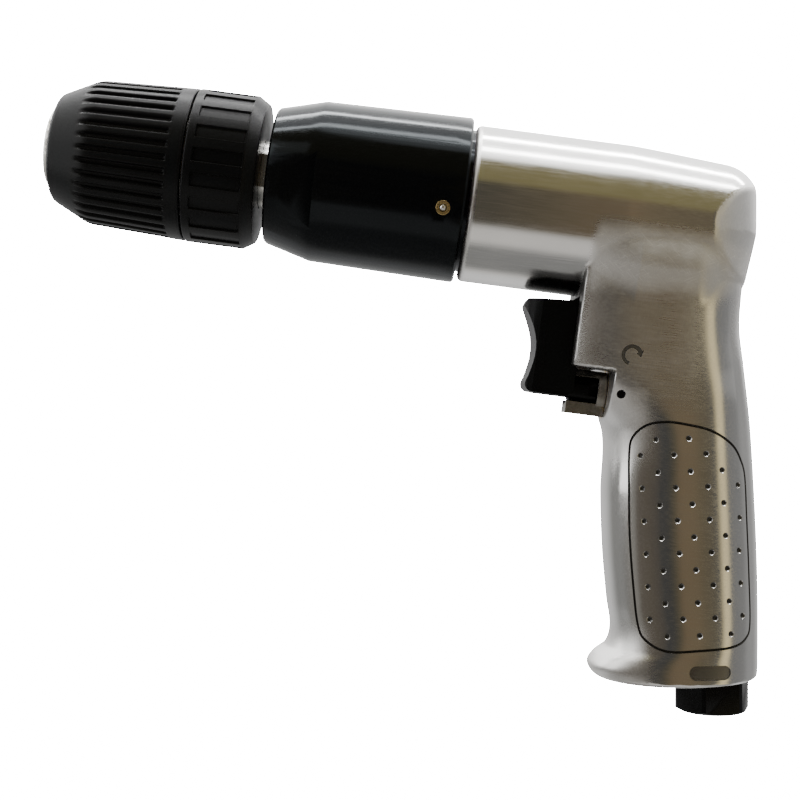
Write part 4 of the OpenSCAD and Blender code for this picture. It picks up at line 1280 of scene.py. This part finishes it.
    def satin(self, x: np.ndarray, y: np.ndarray, z: np.ndarray) -> np.ndarray:
        """Returns how matt the skin is: at its ends, its root, its boss, its neck and its toe.

        Args:
            x: X of each point.
            y: Y of each point.
            z: Z of each point.

        Returns:
            The share of matt at each point.
        """
        f, h = self.to_grip(x, z)
        rear = ease(self.rear(x, y, z) - self.tube(x, y, z), -0.4, 0.0) * (1 - ease(h, 14, 24))
        rim = 1 - ease(x, self.x_front + 1.2, self.x_front + 2.0)
        back = ease(f, 1, 5) * ease(h, 2, 8) * (1 - ease(h, 28, 40))
        root = ease(x, self.x_boss - 1, self.x_boss + 3) * ease(-z, 0.5, 6.5)
        blend = root * (1 - ease(h, 12, 24))
        boss = root * (1 - ease(h, 42, 56)) * (1 - ease(f, -10, -3))
        neck = ease(h, 40, 46) * (1 - ease(h, 58, 70)) * ease(-f, 16, 24)
        toe = ease(h, 106, 114) * ease(-f, 16, 25)
        return np.max([0.62 * rear, 0.62 * rim, 0.55 * back, blend, 0.38 * boss, 0.6 * neck,
                       0.6 * toe], axis=0)


def inside_path(path: np.ndarray, x: float, y: float) -> bool:
    """Says whether a place lies inside a closed path.

    Args:
        path: Points along the path.
        x: The place's first coordinate.
        y: Its second coordinate.

    Returns:
        Whether it lies inside.
    """
    (x0, y0), (x1, y1) = path.T, np.roll(path, -1, axis=0).T
    cross = (y0 > y) != (y1 > y)
    reach = x0 + (y - y0) * (x1 - x0) / np.where(cross, y1 - y0, 1)
    return bool(np.count_nonzero(cross & (reach > x)) % 2)


def surface_net(distance: Callable[[np.ndarray], np.ndarray], low: tuple, high: tuple,
                step: float) -> tuple[np.ndarray, list]:
    """Makes a mesh of quads on the surface where a distance is 0.

    Args:
        distance: The function to follow, on rows of points.
        low: Lowest corner of the box to search.
        high: Highest corner.
        step: Size of a cell.

    Returns:
        The points and the faces.
    """
    axes = [np.arange(a, b + step, step) for a, b in zip(low, high)]
    across = [part.ravel() for part in np.meshgrid(axes[1], axes[2], indexing="ij")]
    value = np.stack([distance(np.column_stack([np.full_like(across[0], x), *across]))
                      .reshape(len(axes[1]), len(axes[2])) for x in axes[0]])
    inside = value < 0
    size = np.array(value.shape)
    filled = sum(inside[tuple(slice(c, n - 1 + c) for c, n in zip(corner, size))].astype(int)
                 for corner in itertools.product((0, 1), repeat=3))
    mixed = (filled > 0) & (filled < 8)
    number = np.full(mixed.shape, -1)
    number[mixed] = np.arange(np.count_nonzero(mixed))
    cells = np.argwhere(mixed)
    total, hits, faces = np.zeros((len(cells), 3)), np.zeros(len(cells)), []
    unit = np.eye(3, dtype=int)
    for axis in range(3):
        u, v = unit[(axis + 1) % 3], unit[(axis + 2) % 3]
        for i, j in itertools.product((0, 1), repeat=2):
            start = cells + i * u + j * v
            a, b = value[tuple(start.T)], value[tuple((start + unit[axis]).T)]
            cross = (a < 0) != (b < 0)
            share = (a / np.where(cross, a - b, 1))[:, None]
            total += np.where(cross[:, None], start + share * unit[axis], 0)
            hits += cross
        first = np.delete(inside, -1, axis)
        flips = np.argwhere(first != np.delete(inside, 0, axis))
        corners = [number[tuple((flips + shift).T)] for shift in (-u - v, -v, 0 * u, -u)]
        quads = np.column_stack(corners)
        turned = first[tuple(flips.T)]
        faces += np.where(turned[:, None], quads, quads[:, ::-1]).tolist()
    return np.array(low) + total / hits[:, None] * step, faces


@dataclass
class Studio:
    """The camera at the photograph's place, with soft light all round.

    A light has a name, a place, a size in metres and a power in watts. The room's colours run
    from left to right in front of the drill.
    """

    eye: Triple = (107.9, -400.0, -58.7)
    roll_deg: float = 7.5
    focal_px: float = 1400.0
    image_px: float = 800.0
    sensor_mm: float = 36.0
    floor_x: float = 107.0
    floor_z: float = -310.0
    floor_r: float = 300.0
    floor_mm: float = 4.0
    sky: Triple = (3.2, 3.2, 3.2)
    aim: Triple = (112.0, 0.0, -40.0)
    lights: tuple = (
        ("top_strip", (112, -122, 690), (1.2, 0.08), 5.0),
        ("back_strip", (112, 205, 670), (1.2, 0.08), 9.0),
        ("left_light", (-500, -350, 330), (0.5, 0.5), 0.6),
        ("left_strip", (-640, 300, 130), (0.25, 0.46), 1.6),
        ("nose_light", (-130, -90, 10), (0.16, 0.3), 0.36),
        ("right_light", (700, -250, 330), (0.5, 0.5), 0.15))
    room: tuple = (
        (0.0, (0.2, 0.2, 0.2)), (0.075, (0.25, 0.24, 0.22)), (0.125, (0.25, 0.24, 0.22)),
        (0.16, (0.128, 0.112, 0.092)), (0.275, (0.12, 0.103, 0.082)),
        (0.4, (0.095, 0.084, 0.072)), (0.42, (0.066, 0.066, 0.066)),
        (0.5, (0.064, 0.063, 0.062)), (0.515, (0.08, 0.075, 0.06)), (0.54, (0.1, 0.09, 0.06)),
        (0.575, (0.21, 0.155, 0.095)), (0.625, (0.19, 0.145, 0.09)),
        (0.65, (0.15, 0.125, 0.08)), (0.75, (0.13, 0.115, 0.085)), (0.76, (0.1, 0.1, 0.1)),
        (0.785, (0.1, 0.1, 0.1)), (0.818, (1.0, 0.85, 0.5)), (0.865, (1.0, 0.85, 0.5)),
        (0.885, (0.2, 0.2, 0.2)), (1.0, (0.26, 0.26, 0.26)))
    backdrop: float = 40.0

    def camera(self) -> None:
        """Makes the camera."""
        data = bpy.data.cameras.new("picture_camera")
        data.sensor_width = self.sensor_mm
        data.lens = self.sensor_mm * self.focal_px / self.image_px
        data.clip_start, data.clip_end = 0.01, 20.0
        made = linked("picture_camera", data)
        roll = math.radians(self.roll_deg)
        right = Vector((math.cos(roll), 0, math.sin(roll)))
        up = Vector((-math.sin(roll), 0, math.cos(roll)))
        turn = Matrix((right, up, (0, -1, 0))).transposed().to_4x4()
        made.matrix_world = Matrix.Translation(Vector(self.eye) * MM) @ turn
        bpy.context.scene.camera = made

    def light(self) -> None:
        """Makes the soft lights."""
        for name, place, size, power in self.lights:
            data = bpy.data.lights.new(name, "AREA")
            data.shape, data.energy = "RECTANGLE", power
            data.size, data.size_y = size
            made = linked(name, data)
            spot = Vector(place) * MM
            turn = (Vector(self.aim) * MM - spot).to_track_quat("-Z", "Y").to_matrix().to_4x4()
            made.matrix_world = Matrix.Translation(spot) @ turn
            made.visible_camera = False

    def world(self) -> None:
        """Makes the surroundings: bright above and behind, dark on the camera's side."""
        world = bpy.data.worlds.new("studio")
        bpy.context.scene.world = world
        world.use_nodes = True
        tree = world.node_tree
        ground = tree.nodes["Background"]
        way = tree.nodes.new("ShaderNodeTexCoord").outputs["Generated"]
        split = tree.nodes.new("ShaderNodeSeparateXYZ")
        tree.links.new(way, split.inputs[0])
        x, y, z = split.outputs
        dark = ramp(tree, math_node(tree, "MULTIPLY_ADD", x, 0.5, 0.5), self.room)
        line = mix_colour(tree, spread(tree, z, 0.42, 0.52), dark, (0.24, 0.21, 0.1))
        high = mix_colour(tree, spread(tree, z, 0.87, 0.945), line, self.sky)
        away = spread(tree, math_node(tree, "ABSOLUTE", x), 0.25, 0.7)
        table = mix_colour(tree, away, (0.78, 0.76, 0.73), (0.33, 0.325, 0.315))
        low = mix_colour(tree, spread(tree, z, -0.5, -0.68), high, table)
        front = mix_colour(tree, spread(tree, z, -0.84, -0.96), low, (0.28, 0.28, 0.275))
        aside = mix_colour(tree, spread(tree, x, -0.1, 0.4), (0.27, 0.27, 0.265), (0.38,) * 3)
        aside = mix_colour(tree, spread(tree, y, 0.35, 0.95), aside, (0.8, 0.8, 0.8))
        paper = mix_colour(tree, spread(tree, z, 0.02, 0.3), aside, (0.85, 0.85, 0.83))
        horizon = spread(tree, y, 0.1, 0.75, 0.42, 0.1)
        tent = mix_colour(tree, spread(tree, z, horizon, math_node(tree, "ADD", horizon, 0.25)),
                          mix_colour(tree, spread(tree, x, -0.1, 0.4), paper, aside), self.sky)
        back = mix_colour(tree, spread(tree, z, -0.4, -0.6), tent, (0.95, 0.95, 0.95))
        turn = spread(tree, z, -0.85, -0.6, 0.4, -0.25)
        around = mix_colour(tree, spread(tree, y, turn, math_node(tree, "ADD", turn, 0.35)),
                            front, back)
        seen = tree.nodes.new("ShaderNodeLightPath").outputs["Is Camera Ray"]
        tree.links.new(mix_colour(tree, seen, around, (1.0, 1.0, 1.0)), ground.inputs["Color"])
        tree.links.new(math_node(tree, "MULTIPLY_ADD", seen, self.backdrop - 1, 1.0),
                       ground.inputs["Strength"])

    def floor(self) -> None:
        """Makes a pale disc under the drill, below the camera's view."""
        under, top = ((self.floor_x, 0.0, z) for z in (self.floor_z - self.floor_mm, self.floor_z))
        disc = rod(under, top, self.floor_r, 96)
        disc.name = "pale_floor"
        paint = bpy.data.materials.new("pale_floor")
        paint.use_nodes = True
        shader = paint.node_tree.nodes["Principled BSDF"]
        shader.inputs["Base Color"].default_value = (0.82, 0.82, 0.81, 1.0)
        shader.inputs["Roughness"].default_value = 0.8
        disc.data.materials.append(paint)
        disc.visible_glossy = False

    def build(self) -> None:
        """Builds the camera, the lights, the surroundings and the floor."""
        self.camera()
        self.light()
        self.world()
        self.floor()


def ramp(tree: Tree, value: Socket, stops: tuple) -> Socket:
    """Adds a colour ramp.

    Args:
        tree: The node tree.
        value: The socket that it reads.
        stops: Place and colour of each stop.

    Returns:
        The colour output.
    """
    node = tree.nodes.new("ShaderNodeValToRGB")
    elements = node.color_ramp.elements
    while len(elements) < len(stops):
        elements.new(0.5)
    for element, (place, colour) in zip(elements, stops):
        element.position = place
        element.color = (*colour, 1.0)
    tree.links.new(value, node.inputs[0])
    return node.outputs["Color"]


@dataclass
class Solids:
    """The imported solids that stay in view, each with its own finish."""

    slots: dict[str, str] = field(default_factory=lambda: {
        part["node"]: part["material_slot"] for part in frame["record"]["subparts"]})

    def dress(self) -> None:
        """Gives each solid the finish of its slot."""
        for name, solid in frame["nodes"].items():
            finish = FINISHES[Slot(self.slots[name])]
            if not solid.data.materials:
                solid.data.materials.append(None)
            for index in range(len(solid.data.materials)):
                solid.data.materials[index] = finish.material()


@dataclass(frozen=True)
class Softened:
    """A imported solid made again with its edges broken, as machining or moulding leaves them."""

    node: str
    body: str
    slot: Slot
    edge_mm: float = 0.3
    steps: int = 2
    crease_deg: float = 28.0
    front_mm: float = 0.0

    def build(self) -> Piece:
        """Builds the piece from a merged copy of the solid.

        Returns:
            The dressed piece.
        """
        mesh = frame["nodes"][self.node].data.copy()
        shell = bmesh.new()
        shell.from_mesh(mesh)
        bmesh.ops.remove_doubles(shell, verts=shell.verts, dist=0.0005 * MM)
        bmesh.ops.dissolve_limit(shell, angle_limit=math.radians(0.3), verts=shell.verts,
                                 edges=shell.edges)
        if self.front_mm:
            self._round_front(shell)
        shell.to_mesh(mesh)
        shell.free()
        made = linked(self.node + "_finished", mesh)
        bevel = made.modifiers.new("edges", "BEVEL")
        bevel.width, bevel.segments = self.edge_mm * MM, self.steps
        bevel.limit_method, bevel.angle_limit = "ANGLE", math.radians(self.crease_deg)
        bevel.harden_normals = True
        smoothed(made, self.crease_deg)
        return dressed(applied(made), self.slot, self.body, self.node)

    def _round_front(self, shell: bmesh.types.BMesh) -> None:
        """Rounds the outermost edges of the piece's front end.

        Args:
            shell: The piece's mesh.
        """
        front = min(v.co.x for v in shell.verts) + 0.02 * MM
        reach = max(v.co.yz.length for v in shell.verts if v.co.x < front) - 0.05 * MM
        edges = [e for e in shell.edges
                 if all(v.co.x < front and v.co.yz.length > reach for v in e.verts)]
        bmesh.ops.bevel(shell, geom=edges, offset=self.front_mm * MM, segments=4, profile=0.5,
                        affect="EDGES", clamp_overlap=True)


# Solid, body, slot, width of the broken edges and their steps
SOFTENED: tuple[Softened, ...] = (
    Softened("gear_case", "housing", Slot.CASE, 0.5, 3),
    Softened("trigger", "trigger", Slot.TRIGGER, 1.1, 4),
    Softened("reverse_lever", "reverse_lever", Slot.LEVER, 0.3),
    Softened("air_inlet_bushing", "housing", Slot.OXIDE, 0.35),
    Softened("chuck_body", "spindle", Slot.STEEL, 0.25, front_mm=1.1),
    Softened("exhaust_cover", "housing", Slot.OXIDE, 0.25),
    Softened("grease_fitting", "housing", Slot.BRASS, 0.15),
    Softened("retaining_pin", "housing", Slot.OXIDE, 0.4, 3),
)


@dataclass
class Throttle:
    """The keel under the trigger's plunger, and the spring that pushes the trigger out."""

    axis_z: float = VALVE_Z
    keel_r: float = 4.1
    keel_top: float = -51.5
    x_keel: tuple[float, ...] = (155.0, 155.4, 165.2)
    keel_nose: float = 0.4
    x_spring: tuple[float, float] = (190.1, 201.1)
    x_stop: float = 201.8
    spring_r: float = 4.2
    wire_r: float = 0.5
    turns: int = 5
    travel: float = 6.0

    def keel(self) -> Piece:
        """Builds the round underside of the plunger.

        Returns:
            The dressed keel.
        """
        half = math.acos((self.axis_z - self.keel_top) / self.keel_r)
        turn = np.linspace(-half, half, 21)
        rings = [np.column_stack([np.full_like(turn, x), r * np.sin(turn),
                                  self.axis_z - r * np.cos(turn)])
                 for x, r in zip(self.x_keel, (self.keel_r - self.keel_nose, *[self.keel_r] * 2))]
        n = len(turn)
        faces = [(k * n + i, k * n + (i + 1) % n, (k + 1) * n + (i + 1) % n, (k + 1) * n + i)
                 for k, i in itertools.product(range(len(rings) - 1), range(n))]
        faces += [tuple(range(n)), tuple(range((len(rings) - 1) * n, len(rings) * n))]
        made = outward(mesh_piece("trigger_keel", np.vstack(rings), faces))
        return dressed(smoothed(made), Slot.TRIGGER, "trigger")

    def spring(self) -> Piece:
        """Builds the spring.

        Returns:
            The dressed spring.
        """
        share = np.linspace(0, 1, 24 * self.turns + 1)
        angle = 2 * math.pi * self.turns * share
        start, end = self.x_spring
        path = np.column_stack([start + (end - start) * share, self.spring_r * np.cos(angle),
                                self.axis_z + self.spring_r * np.sin(angle)])
        made = smoothed(wire("wound_spring", path, self.wire_r, False, Slot.GEAR))
        dressed(made, Slot.GEAR, "housing", "throttle_spring")
        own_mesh(made)
        return made

    def build(self) -> None:
        """Builds the keel and the spring."""
        self.keel()
        self.spring()


def main() -> None:
    """Builds the drill's pieces and the studio."""
    logging.basicConfig(level=logging.INFO, format="%(name)s: %(message)s")
    Solids().dress()
    ChuckSleeve().build()
    ChuckRing().build()
    Housing().build()
    for softened in SOFTENED:
        softened.build()
    Throttle().build()
    Studio().build()


if __name__ == "__main__":
    main()
